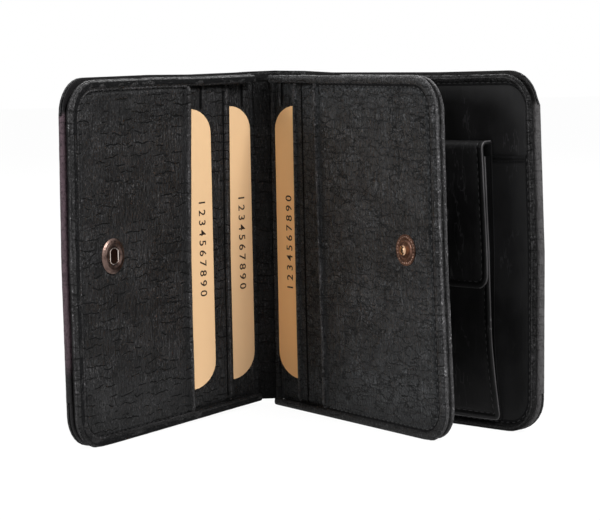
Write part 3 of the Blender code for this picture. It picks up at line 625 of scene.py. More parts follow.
def leather(name, colour, pale, across=115.0, up=330.0, crack=0.085, crinkle=4.2, gloss=0.34, specular=0.16,
            web=0.5, dashes=0.8):
    """Crackle leather: colour in the plates, near black in the cracks, paler on worn patches, pale specks
    and painted glints on the grain, and painted shade in grooves and towards the foot.
    """
    made, tree, shader, where = new_material(name, specular=specular)
    grain = place_group(tree, CRACKLE, {"Vector": where, "Across": across, "Up": up, "Crack Width": crack,
                                        "Crinkle": crinkle, "Web": web, "Dashes": dashes})
    patch = place_group(tree, PATCHES, {"Vector": where, "Size": 90.0}).outputs["Patches"]
    body = blend_colour(tree, patch, colour, pale)
    # lit: the colour with the pale specks and the painted glints laid on
    lit = blend_colour(tree, times(tree, grain.outputs["Specks"], SPECK_SHARE), body,
                       tuple(min(4.0 * c, 0.4) for c in pale))
    # Painted shade: the leather darkens towards the foot, most at the floor and gone 22 mm up
    painted_foot_shade = remap(tree, height_of(tree, where), 0.0, 0.022, 0.52, 0.0)
    # dark joins the grain's cracks with the painted shade in grooves and at the foot
    dark = larger(tree, grain.outputs["Cracks"], larger(tree, painted_groove_shade(tree), painted_foot_shade), clamp=True)
    dress(tree, shader, blend_colour(tree, dark, lit, tuple(0.12 * c for c in colour)),
          remap(tree, dark, 0.0, 1.0, gloss, 0.95))
    add_bump(tree, shader, grain.outputs["Height"], 1.0, 0.00030)
    return made


def matte_seam(name, shade):
    """A dark strip laid at the bottom of a sewn or pressed line, where the leather is pulled in: painted
    shade.
    """
    made, tree, shader, where = new_material(name, specular=0.04)
    fibre = noise(tree, scaled(tree, where, 2400.0, 2400.0), 1.0, 2.0)
    colour = blend_colour(tree, remap(tree, fibre, 0.4, 0.7), (shade, shade, shade * 1.05),
                          (shade * 3, shade * 3, shade * 3.15))
    dress(tree, shader, colour, remap(tree, fibre, 0.3, 0.7, 0.85, 1.0))
    add_bump(tree, shader, fibre, 0.3, 0.0001)
    return made


def banded_edge(name, colour, band, low, high):
    """A cover's turned edge: dark, but paler in a flecked band between two heights."""
    made, tree, shader, where = new_material(name, specular=0.12)
    grain = place_group(tree, CRACKLE, {"Vector": where, "Across": 220.0, "Up": 420.0, "Crack Width": 0.08,
                                        "Crinkle": 1.2})
    height = height_of(tree, where)
    pale_band = times(tree, remap(tree, height, low - 0.004, low + 0.004),
                   remap(tree, height, high - 0.001, high + 0.001, 1.0, 0.0))
    fleck = noise(tree, scaled(tree, where, 700.0, 300.0), 1.0, 4.0, 0.7)
    pale_band = times(tree, pale_band, remap(tree, fleck, 0.25, 0.55, 0.45, 1.0))
    body = blend_colour(tree, pale_band, colour, band)
    # Painted shade in the hem's grooves, joined with the grain's cracks
    dark = larger(tree, times(tree, grain.outputs["Cracks"], 0.7), painted_groove_shade(tree), clamp=True)
    dress(tree, shader, blend_colour(tree, dark, body, tuple(0.15 * c for c in colour)),
          remap(tree, dark, 0.0, 1.0, 0.45, 0.95))
    add_bump(tree, shader, grain.outputs["Height"], 0.8, 0.0002)
    return made


def smooth_leather(name, colour, pale, rough=0.6, bump=0.5, up=140.0, specular=0.4):
    """Flat lining leather with long faint wrinkles, pale streaks along them as painted highlights, and
    painted shade in grooves.
    """
    made, tree, shader, where = new_material(name, specular=specular)
    long_folds = noise(tree, scaled(tree, where, 260.0, up * 0.5), 1.0, 3.0, 0.55)
    fold_gate = remap(tree, noise(tree, scaled(tree, where, 90.0, 55.0), 1.0, 1.0), 0.50, 0.62)
    fine = noise(tree, scaled(tree, where, 2600.0, 2200.0), 1.0, 3.0, 0.6)
    patch = place_group(tree, PATCHES, {"Vector": where, "Size": 55.0}).outputs["Patches"]
    body = blend_colour(tree, patch, colour, pale)
    off_line = maths(tree, "ABSOLUTE", maths(tree, "SUBTRACT", long_folds, 0.5))
    # Painted highlights: pale streaks along the long folds
    streak = times(tree, remap(tree, off_line, 0.0, 0.016, 1.0, 0.0), fold_gate)
    streaked = blend_colour(tree, times(tree, streak, 0.7), body, tuple(3.0 * c for c in pale))
    # Painted shade in grooves, darkening the colour towards black
    dress(tree, shader, blend_colour(tree, painted_groove_shade(tree), streaked, (0.0008, 0.0008, 0.0008)),
          remap(tree, patch, 0.0, 1.0, rough, rough + 0.12))
    add_bump(tree, shader, plus(tree, long_folds, times(tree, fine, 0.35)), bump, 0.0002)
    return made


def card_paper(name, colour, deep, up_shade):
    made, tree, shader, where = new_material(name, specular=0.35)
    fibres = noise(tree, scaled(tree, where, 900.0, 160.0), 1.0, 5.0, 0.65)
    grit = noise(tree, scaled(tree, where, 3200.0, 3200.0), 1.0, 2.0)
    # Painted light and shade: the colour changes with height, from the deep colour low down to the colour
    # above, to even out how the lamps fall on the card
    height = remap(tree, height_of(tree, where), 0.02, 0.10, 0.0, up_shade)
    share = plus(tree, times(tree, fibres, 0.45), height, clamp=True)
    dress(tree, shader, blend_colour(tree, share, deep, colour), remap(tree, grit, 0.3, 0.7, 0.50, 0.64))
    add_bump(tree, shader, grit, 0.12, 0.0001)
    return made


def aged_metal(name, bright, dark, rough, centre=None, reach=1.0, inner=(0, 0, 0), inner_rough=0.3):
    """Rubbed metal with tarnish in patches. Within reach (mm) of a centre it takes the inner colour."""
    made, tree, shader, where = new_material(name, metallic=1.0)
    tarnish = noise(tree, scaled(tree, where, 600.0, 600.0), 1.0, 4.0, 0.65)
    colour = blend_colour(tree, remap(tree, tarnish, 0.44, 0.66), bright, dark)
    grit = noise(tree, scaled(tree, where, 1800.0, 700.0), 1.0, 3.0)
    scuff = remap(tree, grit, 0.3, 0.7, rough, rough + 0.16)
    if centre is not None:
        gap = tree.nodes.new("ShaderNodeVectorMath")
        gap.operation = "DISTANCE"
        tree.links.new(where, gap.inputs[0])
        gap.inputs[1].default_value = tuple(c * MM for c in centre)
        inside = remap(tree, gap.outputs["Value"], (reach - 0.25) * MM, reach * MM, 1.0, 0.0)
        colour = blend_colour(tree, inside, colour, inner)
        even = times(tree, inside, inner_rough)
        scuff = plus(tree, times(tree, scuff, maths(tree, "SUBTRACT", 1.0, inside)), even)
    dress(tree, shader, colour, scuff)
    add_bump(tree, shader, tarnish, 0.25, 0.00008)
    return made


def thread_material(name, colour, pale):
    made, tree, shader, where = new_material(name, specular=0.45)
    twist = noise(tree, scaled(tree, where, 5200.0, 2600.0), 1.0, 3.0)
    dress(tree, shader, blend_colour(tree, remap(tree, twist, 0.35, 0.65), colour, pale),
          remap(tree, twist, 0.3, 0.7, 0.45, 0.65))
    add_bump(tree, shader, twist, 0.4, 0.0001)
    return made


def ink_material(name, colour):
    made, tree, shader, where = new_material(name, specular=0.3)
    wear = noise(tree, scaled(tree, where, 2600.0, 2600.0), 1.0, 3.0)
    worn = blend_colour(tree, remap(tree, wear, 0.58, 0.75), colour, tuple(3 * c for c in colour))
    dress(tree, shader, worn, remap(tree, wear, 0.3, 0.7, 0.5, 0.7))
    return made


BLACK, SOFT_BLACK = (0.0083, 0.0083, 0.0086), (0.0165, 0.0164, 0.0170)
LEAF_BLACK, LEAF_SOFT = (0.0112, 0.0120, 0.0129), (0.0215, 0.0227, 0.0242)
MEDIUM_GRAIN, FINE_GRAIN = {"across": 330.0, "up": 520.0}, {"across": 420.0, "up": 620.0}
panel_grain = leather("left_panel_grain", BLACK, SOFT_BLACK, across=130.0, up=400.0, crack=0.08, web=0.22,
                      dashes=1.0)
leaf_grain = leather("leaf_grain", LEAF_BLACK, LEAF_SOFT, across=190.0, up=400.0, crack=0.12, crinkle=4.0,
                     web=0.9, dashes=0.6)
outer_grain = leather("cover_grain", BLACK, SOFT_BLACK, across=150.0, up=350.0, crack=0.085)
# Painted shade: the spine's inner leather is much darker than the others, for the deep shade in the trough
# between the boards
inner_grain = leather("spine_inner_grain", (0.0036, 0.0036, 0.0037), (0.0072, 0.0071, 0.0073), gloss=0.65,
                      specular=0.09)
rim_grain = leather("rim_grain", (0.0090, 0.0088, 0.0091), (0.0185, 0.0181, 0.0186), crack=0.16, gloss=0.38,
                    **MEDIUM_GRAIN)
# Painted shade: a darker copy of the rim leather, with less sheen, for the right board, which lies in the
# leaf's shade
right_rim = leather("right_rim_grain", (0.0055, 0.0054, 0.0056), (0.0110, 0.0108, 0.0111), crack=0.12,
                    specular=0.08, **MEDIUM_GRAIN)
leaf_rim = leather("leaf_rim_grain", (0.010, 0.010, 0.0104), (0.024, 0.024, 0.025), crack=0.10, **FINE_GRAIN)
mauve_edge = banded_edge("left_cover_edge", (0.010, 0.0095, 0.010), (0.060, 0.040, 0.048), low=0.024,
                         high=0.096)
grey_edge = banded_edge("right_cover_edge", (0.009, 0.0085, 0.0085), (0.060, 0.058, 0.059), low=0.002,
                        high=0.096)
# The dark lining is partly the lining's own black and partly painted shade for the leaf's shadow on the
# right board
lining_dark = smooth_leather("dark_lining", (0.0036, 0.0036, 0.0038), (0.0080, 0.0080, 0.0084), rough=0.5,
                             specular=0.12)
# Painted light: a lighter copy of the lining for the panel above the slip pocket, where the board's top is
# lit more
lining_top = smooth_leather("upper_lining_painted_light", (0.0052, 0.0052, 0.0054), (0.0115, 0.0114, 0.0119), rough=0.45,
                            specular=0.16)
# Painted shade: a near-black leather for the pouch's folded side wall, deep in shade at its opening
gusset_dark = smooth_leather("gusset_fold", (0.0008, 0.0008, 0.0009), (0.0020, 0.0020, 0.0021), rough=0.7,
                             specular=0.03)
bill_cloth = smooth_leather("bill_cloth", (0.006, 0.006, 0.0065), (0.012, 0.012, 0.0125), rough=0.75,
                            up=2400.0)
pouch_gloss = smooth_leather("pouch_gloss", (0.0055, 0.0055, 0.0057), (0.0105, 0.0104, 0.0107), rough=0.36,
                             bump=0.9, specular=0.10)
# Painted highlight: a much paler leather for the thin folded-edge beads on the pouch and flap, for the
# bright line along their edges
bead_painted_highlight = smooth_leather("folded_edge_highlight", (0.020, 0.019, 0.020), (0.055, 0.053, 0.055), rough=0.30,
                            specular=0.35)
left_tan = card_paper("left_card_stock", (0.685, 0.462, 0.258), (0.672, 0.436, 0.241), up_shade=0.5)
leaf_tan = card_paper("leaf_card_stock", (0.80, 0.51, 0.252), (0.88, 0.495, 0.212), up_shade=0.55)
copper = aged_metal("antique_copper", (0.30, 0.165, 0.12), (0.075, 0.040, 0.030), rough=0.26)
# Painted shade: within 2.75 mm of the ring's centre the socket turns dark brown and less shiny, for the
# shade down its hole
socket_metal = aged_metal("socket_copper", (0.165, 0.112, 0.095), (0.070, 0.044, 0.037), rough=0.32,
                          centre=left_square(RING_PLACE, LEFT_FACE, SNAP_HEIGHT), reach=2.75,
                          inner=(0.035, 0.016, 0.010), inner_rough=0.45)
stud_metal = aged_metal("stud_copper", (0.26, 0.150, 0.112), (0.12, 0.068, 0.052), rough=0.30,
                        centre=leaf_square(STUD_PLACE, 3.3, SNAP_HEIGHT), reach=1.60,
                        inner=(0.62, 0.40, 0.25), inner_rough=0.20)
# Painted highlights: a paler copper for the stud's flange dots, for the bright glints on them
dot_metal = aged_metal("dots_painted_highlight", (0.36, 0.24, 0.19), (0.12, 0.075, 0.058), rough=0.25)
steel_spring = aged_metal("spring_wire", (0.75, 0.66, 0.60), (0.40, 0.33, 0.30), rough=0.18)
thread = thread_material("waxed_thread", (0.007, 0.007, 0.0073), (0.020, 0.0195, 0.0205))
# Painted shade: dark strips for the sewn lines and, softer, for the pressed lines
seam_dark = matte_seam("sewn_line_shadow", shade=0.0012)
seam_soft = matte_seam("pressed_line_shadow", shade=0.0042)
# Painted light: a lighter leather for the leaf's outer edge ridge, which faces away from the lamps and lies
# in shade
crest_painted_light = leather("crest_painted_light", (0.034, 0.0335, 0.0345), (0.060, 0.059, 0.061), crack=0.10, web=0.3,
                     dashes=0.3, **FINE_GRAIN)
back_rim = leather("leaf_back_rim", (0.030, 0.0295, 0.0305), (0.056, 0.055, 0.057), crack=0.10, web=0.3,
                   dashes=0.3, **FINE_GRAIN)
# Painted highlight: a paler leather on the raised ridges by the mouths and rims, for the highlight along
# them
ridge_painted_highlight = leather("ridge_painted_highlight", (0.016, 0.0155, 0.016), (0.036, 0.035, 0.036), crack=0.10, **FINE_GRAIN)
ink = ink_material("card_ink", (0.014, 0.007, 0.005))


# Board outlines: start, end, foot, top, top radius, foot radius
def inner_shape(start, board_width, height, inset=2.0):
    return (start, board_width - inset, inset, height - inset, CORNER - inset, CORNER - inset)


def leaf_shape(start):
    return inner_shape(start, LEAF_WIDTH, LEAF_HEIGHT)


def level(depth):
    return lambda u, z, d: np.full_like(u, depth)


def pocket_front(face, mouth, seed, height, sign=1, tuck=None, swell=1.0):
    """A pocket leather's face: rolled mouth, sewn line beside it, rim groove and soft wrinkles.
    tuck is where a short crease runs down from the rim, over a card's corner. A mouth with a swell under 1
    lies flatter, so that a card can be drawn over it."""
    def front(u, z, d):
        x = u - mouth
        rise = soft_wrinkle(u, z, d, seed, height)
        rise += 0.28 * swell * ridge(x, MOUTH_ROLL, 0.75) - 0.32 * swell * ridge(x, MOUTH_SEAM, 0.65)
        rise -= 0.22 * (1 - swell) * (1 - smooth_share(x, 1.5, 6.0))
        rise -= 0.25 * ridge(d, 0.85, 0.40) - 0.14 * ridge(d, 2.0, 0.8)
        rise -= 0.22 * at_edge(d, 0.2) + 0.25 * at_edge(x, 0.18)
        if tuck is not None:
            rise += crease(u - tuck, z)
        return face + sign * rise
    return front


def pocket_painted_shade(mouth, tuck=None):
    """Where a pocket's face takes painted shade: its mouth, the sewn line, the rim groove and the short
    crease.
    """
    def hollow(u, z, d):
        x = u - mouth
        share = 0.9 * at_edge(x, 0.22) + 0.95 * ridge(x, MOUTH_SEAM, 0.60)
        share += 0.95 * ridge(d, 0.75, 0.55)
        if tuck is not None:
            share += tuck_painted_shade(tuck)(u, z, d)
        return share
    return hollow


def groove(centre, width):
    """Painted shade along a sewn line at a distance in from the free sides."""
    return lambda u, z, d: 0.9 * ridge(d, centre, width)


def tuck_painted_shade(tuck):
    # Painted shade in the groove beside a short crease, fading in towards the top
    return lambda u, z, d: 1.1 * np.clip((z - CREASE_START) / CREASE_FADE, 0, 1) * ridge(u - tuck, 1.3, 0.6)


def crease(x, z):
    """A short upright crease above a card's top corner: a ridge with a groove beside it."""
    fade = np.clip((z - CREASE_START) / CREASE_FADE, 0, 1)
    return fade * (0.30 * ridge(x, 0, 0.6) - 0.25 * ridge(x, 1.3, 0.5))


def waved(depth, seed, height):
    return lambda u, z, d: depth + soft_wrinkle(u, z, d, seed, height)


def flat_at(depth):
    """One depth at every (u, z)."""
    return lambda u, z: depth + 0 * u


def seated(face, end, top, foot=2):
    """A leather's face as a depth at each (u, z)."""
    return lambda u, z: face(u, z, depth_in(u, z, end, foot, top, 8))


def reach_along(route):
    """The distance along a route to each of its points."""
    return np.concatenate([[0], np.cumsum(np.hypot(*np.diff(route, axis=0).T))])


def tucked(depth, tuck):
    """A flat face with one short crease down from its rim."""
    return lambda u, z, d: depth + crease(u - tuck, z)


def edge_bead(name, place, route, depth, radius, body, material=None, rise=1.0, rough=0.0):
    """A thin bead along a route of (u, z): a folded edge in the pale painted-highlight leather, a raised
    ridge, or a dark strip of painted shade at a sewn line's bottom.
    depth gives its middle at each (u, z), rise flattens it and rough makes it uneven."""
    route = np.array(route, float)
    reach = reach_along(route)
    even = np.linspace(0, reach[-1], max(int(reach[-1] / 0.9), 2) + 1)
    route = np.stack([np.interp(even, reach, route[:, k]) for k in (0, 1)], axis=1)
    around = 8
    points = []
    ahead = np.gradient(route, axis=0)
    ahead /= np.maximum(np.hypot(*ahead.T), 1e-9)[:, None]
    across = np.stack([-ahead[:, 1], ahead[:, 0]], axis=1)
    for k in range(around):
        a = math.tau * k / around
        flat = route + across * radius * math.cos(a)
        lift = radius * math.sin(a) * rise
        lift = lift + rough * lattice(even, even * 0 + k, 1.1, 1.7, len(name)) * abs(math.sin(a))
        points.append(place(flat[:, 0], depth(route[:, 0], route[:, 1]) + lift, np.maximum(flat[:, 1], 0)))
    made = link_mesh(name, np.concatenate(points), tube_faces(len(route), around), material or bead_painted_highlight)
    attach(made, body)


def fine_route(start, end, foot, top, radius, inset):
    stations = [i / 40 for i in range(41)]
    return rim_line(start, end, foot, top, (radius, radius), inset, stations, 40, 12)


# Stitches
def bead_shape():
    rings, around = 5, 8
    points = [(-1, 0, 0)]
    for i in range(1, rings):
        a = math.pi * i / rings
        for k in range(around):
            b = math.tau * k / around
            points.append((-math.cos(a), math.sin(a) * math.cos(b), math.sin(a) * math.sin(b)))
    points.append((1, 0, 0))
    faces = [(0, 1 + (k + 1) % around, 1 + k) for k in range(around)]
    for i in range(rings - 2):
        for k in range(around):
            a, b = 1 + i * around + k, 1 + i * around + (k + 1) % around
            faces.append((a, b, b + around, a + around))
    end = len(points) - 1
    faces += [(end, end - around + k, end - around + (k + 1) % around) for k in range(around)]
    return np.array(points), faces


BEAD, BEAD_FACES = bead_shape()


def stitch_row(name, place, route, depth, body, sign=1, pitch=2.1, length=1.35, width=0.36, rise=0.16):
    """Sewn stitches along a route of (u, z); depth gives the leather's face at each one."""
    route = np.array(route)
    reach = reach_along(route)
    places = np.arange(pitch / 2, reach[-1], pitch)
    points, faces = [], []
    random = np.random.RandomState(len(name) * 7 + len(places))
    for s in places:
        half = length / 2 * (0.9 + 0.2 * random.rand())
        lean = 0.10 * (random.rand() - 0.5)
        centre = np.array([np.interp(s, reach, route[:, k]) for k in (0, 1)])
        ahead = np.array([np.interp(s + 0.1, reach, route[:, k]) for k in (0, 1)]) - centre
        ahead /= max(np.hypot(*ahead), 1e-6)
        across = np.array([-ahead[1], ahead[0]])
        ahead = ahead + lean * across
        flat = centre + BEAD[:, :1] * half * ahead + BEAD[:, 1:2] * width / 2 * across
        n = depth(flat[:, 0], flat[:, 1]) + sign * (BEAD[:, 2] * rise + 0.03 - 0.10 * np.abs(BEAD[:, 0]))
        base = len(points) * len(BEAD)
        points.append(place(flat[:, 0], n, flat[:, 1]))
        faces += [tuple(base + i for i in f) for f in BEAD_FACES]
    made = link_mesh(name, np.concatenate(points), faces, thread)
    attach(made, body)


def rim_route(start, end, foot, top, radius, inset):
    stations = [i / 12 for i in range(13)]
    line = rim_line(start, end, foot, top, (radius, radius), inset, stations, 12, 10)
    return [p for p in line if p[0] >= start]


def board_rim(start, inset):
    return rim_route(start, BOARD_WIDTH, 0, PANEL_HEIGHT, CORNER, inset)


def leaf_edge(start, inset):
    return rim_route(start, LEAF_WIDTH, 0, LEAF_HEIGHT, CORNER, inset)


def smooth_share(x, low, high):
    """0 below low, 1 above high, eased between."""
    t = np.clip((np.asarray(x, float) - low) / (high - low), 0, 1)
    return t * t * (3 - 2 * t)


def sewn_mouth(name, place, mouth, foot, top, face, body, swell=1.0):
    """A pocket's mouth: a rolled ridge in the paler painted-highlight leather, with stitches, and beside it
    a dark strip of painted shade for the sewn line.
    """
    on_face = seated(face, 200, top, foot)
    edge_bead(name + "_ridge", place, [(mouth + 1.5, foot), (mouth + 1.5, top)],
              lambda u, z: on_face(u, z) - 0.12, radius=0.55, body=body, material=ridge_painted_highlight,
              rise=0.24 + 0.66 * swell, rough=0.14 * swell)
    edge_bead(name + "_line", place, [(mouth + 3.2, foot), (mouth + 3.2, top)], on_face, radius=0.50,
              body=body, material=seam_dark, rise=0.16)
    stitch_row(name + "_stitches", place, [(mouth + 1.5, foot + 1), (mouth + 1.5, top - 1)],
               lambda u, z: on_face(u, z) + 0.39 * swell - 0.06, body, pitch=2.3, width=0.45,
               rise=0.06 + 0.10 * swell)


def short_crease(name, place, u, top, depth, body):
    """A short fold line above a card's corner: a ridge with a dark strip of painted shade beside it."""
    edge_bead(name + "_ridge", place, [(u, top - 6.5), (u, top)], flat_at(depth + 0.05), radius=0.45,
              body=body, material=rim_grain, rise=0.8, rough=0.06)
    edge_bead(name + "_line", place, [(u + 1.2, top - 7.0), (u + 1.2, top)], flat_at(depth + 0.02),
              radius=0.42, body=body, material=seam_dark, rise=0.18)


def mouth_lean(place, mouth, shifts):
    """The place function with a pocket's mouth drawn towards the fold, by amounts from foot to top."""
    def moved(u, n, z):
        share = np.clip(1 - (np.asarray(u, float) - mouth) / 14, 0, 1)
        return place(u + np.interp(z, (0, 50, 92, 105), shifts) * share, n, z)
    return moved


# Spine and covers
def make_covers():
    for side, place in (("left", left), ("right", right)):
        path = cover_frame(side)
        if side == "right":
            path, place = swollen(path, EDGE_SWELL), swollen(place, EDGE_SWELL)
        shape = (-HALF_SPINE, BOARD_WIDTH, 0, COVER_HEIGHT, CORNER, CORNER)

        def outer(u, z, d, seed=31 if side == "left" else 47):
            rise = wrinkle(u, z, seed, 0.22) * np.clip(d / 3, 0, 1) + 0.18 * ridge(d, 1.5, 0.9)
            rise -= 0.20 * ridge(d, 3.2, 0.35) + 0.30 * at_edge(d, 0.25)
            rise += 0.05 * lattice(u, z, 0.9, 30, seed + 9) * ridge(u, 0, 3.0)
            return -rise

        made = leather_sheet(side + "_cover_leather", path, shape, lambda u, z, d: 0.9 + 0 * u, outer,
                             outer_grain, step=1.5)
        nodes = [side + "_cover"] + (["spine_cover"] if side == "left" else [])
        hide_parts(*nodes)
        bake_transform(made)
        route = rim_route(2.5, BOARD_WIDTH, 0, COVER_HEIGHT, CORNER, 3.2)
        stitch_row(side + "_cover_stitches", place, route, flat_at(0.10), side + "_board", sign=-1)
        # A dark strip of painted shade along the cover's sewn line
        edge_bead(side + "_cover_line", place, route, flat_at(0.08), radius=0.42, body=side + "_board",
                  material=seam_dark, rise=0.45)
        hem_section = roll_section(low=1.05, high=2.30, width=2.3, seat=2.2)
        hem = rolled_edge(side + "_hem_roll", place,
                          (1.65, BOARD_WIDTH, 0, COVER_HEIGHT, CORNER, CORNER), hem_section,
                          mauve_edge if side == "left" else grey_edge, seed=61)
        lower_top(hem, place, COVER_STEP, 1.65)
        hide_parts(side + "_cover_hem")
        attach(hem, side + "_board")
        shape = inner_shape(1.65, BOARD_WIDTH, COVER_HEIGHT, 2.4)
        lining = leather_sheet(side + "_bill_cloth", place, shape, level(1.32), level(1.12), bill_cloth,
                               step=4.0, rims=(0, 0.3, 1.0, 2.0))
        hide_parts(side + "_bill_lining")
        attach(lining, side + "_board")
        smooth = side == "right"
        shape = inner_shape(1.0, BOARD_WIDTH, PANEL_HEIGHT, 2.2)
        back = leather_sheet(side + "_panel_leather", place, shape,
                             waved(2.22, 71, 0.10) if smooth else tucked(2.22, BACK_TUCK),
                             level(1.88), lining_top if smooth else panel_grain, step=1.4,
                             hollow=groove(0.7, 0.5) if smooth else tuck_painted_shade(BACK_TUCK))
        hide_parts(side + "_panel_back")
        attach(back, side + "_board")
    divider = leather_sheet("spine_inner_leather", spine, (-7.1, 7.1, 0.2, PANEL_HEIGHT, 0.3, 0.3),
                            lambda u, z, d: 1.48 + 0.12 * lattice(u, z, 2.2, 9, 5) * np.clip(d, 0, 1),
                            lambda u, z, d: 1.12 + 0.12 * lattice(u, z, 2.2, 9, 5) * np.clip(d, 0, 1),
                            inner_grain, step=1.0, rims=(0, 0.2, 0.6, 1.2))
    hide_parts("spine_divider")
    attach(divider, "spine")


def swollen(place, extra):
    """The place function with the free edge pushed outwards below the step near the top."""
    def moved(u, n, z):
        below = np.clip((COVER_STEP + 1 - np.asarray(z)) / 1.2, 0, 1)
        return place(u + extra * np.clip((np.asarray(u) - 86) / 6, 0, 1) * below, n, z)
    return moved


def lower_top(hem, place, level_z, depth):
    """Above a height the roll is flattened to a lower depth, where the cover steps down beside the panel."""
    origin, across = place(0, 0, 0), place(0, 1, 0)
    inward = Vector(across - origin)
    for vertex in hem.data.vertices:
        z = vertex.co.z / MM
        if z < level_z - 0.6:
            continue
        n = (Vector(vertex.co) / MM - Vector(origin)).dot(inward)
        keep = min(max((level_z - z) / 0.6, 0), 1)
        top = depth + (2.35 - depth) * keep
        if n > top:
            vertex.co += inward * ((top - n) * MM)


# Left board
def make_left_board():
    first = mouth_lean(left, MOUTH_OUTER, (-0.9, -0.8, -2.2, -2.4))
    second = mouth_lean(left, MOUTH_INNER, (-1.2, -1.2, -2.0, -2.2))
    face = pocket_front(LEFT_FACE, mouth=MOUTH_OUTER, seed=11, height=0.20)
    outer = leather_sheet("left_pocket_front", first, inner_shape(MOUTH_OUTER, BOARD_WIDTH, PANEL_HEIGHT),
                          face, level(4.17), panel_grain, step=1.1, hollow=pocket_painted_shade(MOUTH_OUTER))
    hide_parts("left_pocket_outer")
    inner_face = pocket_front(3.33, mouth=MOUTH_INNER, seed=12, height=0.04, tuck=LEFT_TUCK, swell=0.3)
    inner = leather_sheet("left_pocket_second", second, inner_shape(MOUTH_INNER, BOARD_WIDTH, PANEL_HEIGHT),
                          inner_face, level(3.02), panel_grain, step=1.1,
                          hollow=pocket_painted_shade(MOUTH_INNER, LEFT_TUCK))
    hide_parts("left_pocket_inner")
    section = roll_section(low=2.75, high=5.45, width=2.5)
    binding = rolled_edge("left_rim_roll", left, (1.2, BOARD_WIDTH, 0, PANEL_HEIGHT, CORNER, CORNER),
                          section, rim_grain, seed=21, crinkle=0.09)
    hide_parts("left_binding")
    for piece in (outer, inner, binding):
        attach(piece, "left_board")
    on_outer = seated(face, 90, 103)
    stitch_row("left_rim_stitches", left, board_rim(38.5, 2.95), on_outer, "left_board")
    sewn_mouth("left_mouth", first, mouth=MOUTH_OUTER, foot=SEAM_FOOT, top=SEAM_TOP, face=face,
               body="left_board")
    sewn_mouth("left_second_mouth", second, mouth=MOUTH_INNER, foot=SEAM_FOOT, top=SEAM_TOP,
               face=inner_face, body="left_board", swell=0.3)
    short_crease("left_crease", left, u=LEFT_TUCK, top=SEAM_TOP, depth=3.40, body="left_board")
    short_crease("left_second_crease", left, u=BACK_TUCK, top=102.2, depth=2.28, body="left_board")
    # A raised ridge inside the rim in the paler painted-highlight leather
    edge_bead("left_inner_ridge", left, board_rim(37.6, 2.55), lambda u, z: on_outer(u, z) + 0.22,
              radius=0.36, body="left_board", material=ridge_painted_highlight, rise=1.0, rough=0.05)
    # A soft dark strip of painted shade in the crease inside the rim roll
    edge_bead("left_rim_crease", left, board_rim(1.6, 1.15), flat_at(5.40), radius=0.72,
              body="left_board", material=seam_soft, rise=0.16, rough=0.05)
    # A raised ridge along the panel's edge in the paler painted-highlight leather
    edge_bead("left_side_ridge", left, board_rim(1.9, 0.12), flat_at(3.95), radius=0.40,
              body="left_board", material=ridge_painted_highlight, rise=1.0, rough=0.05)
    edge_bead("left_edge_band", left, [(BOARD_WIDTH - 0.55, z) for z in (14, 40, 70, 95.5)],
              flat_at(1.20), radius=1.10, body="left_board", material=mauve_edge, rise=1.0, rough=0.05)
    edge_bead("left_fold_ridge", left, [(1.6, SEAM_FOOT), (1.6, SEAM_TOP)], flat_at(2.25), radius=0.45,
              body="left_board", material=rim_grain, rise=0.8, rough=0.08)


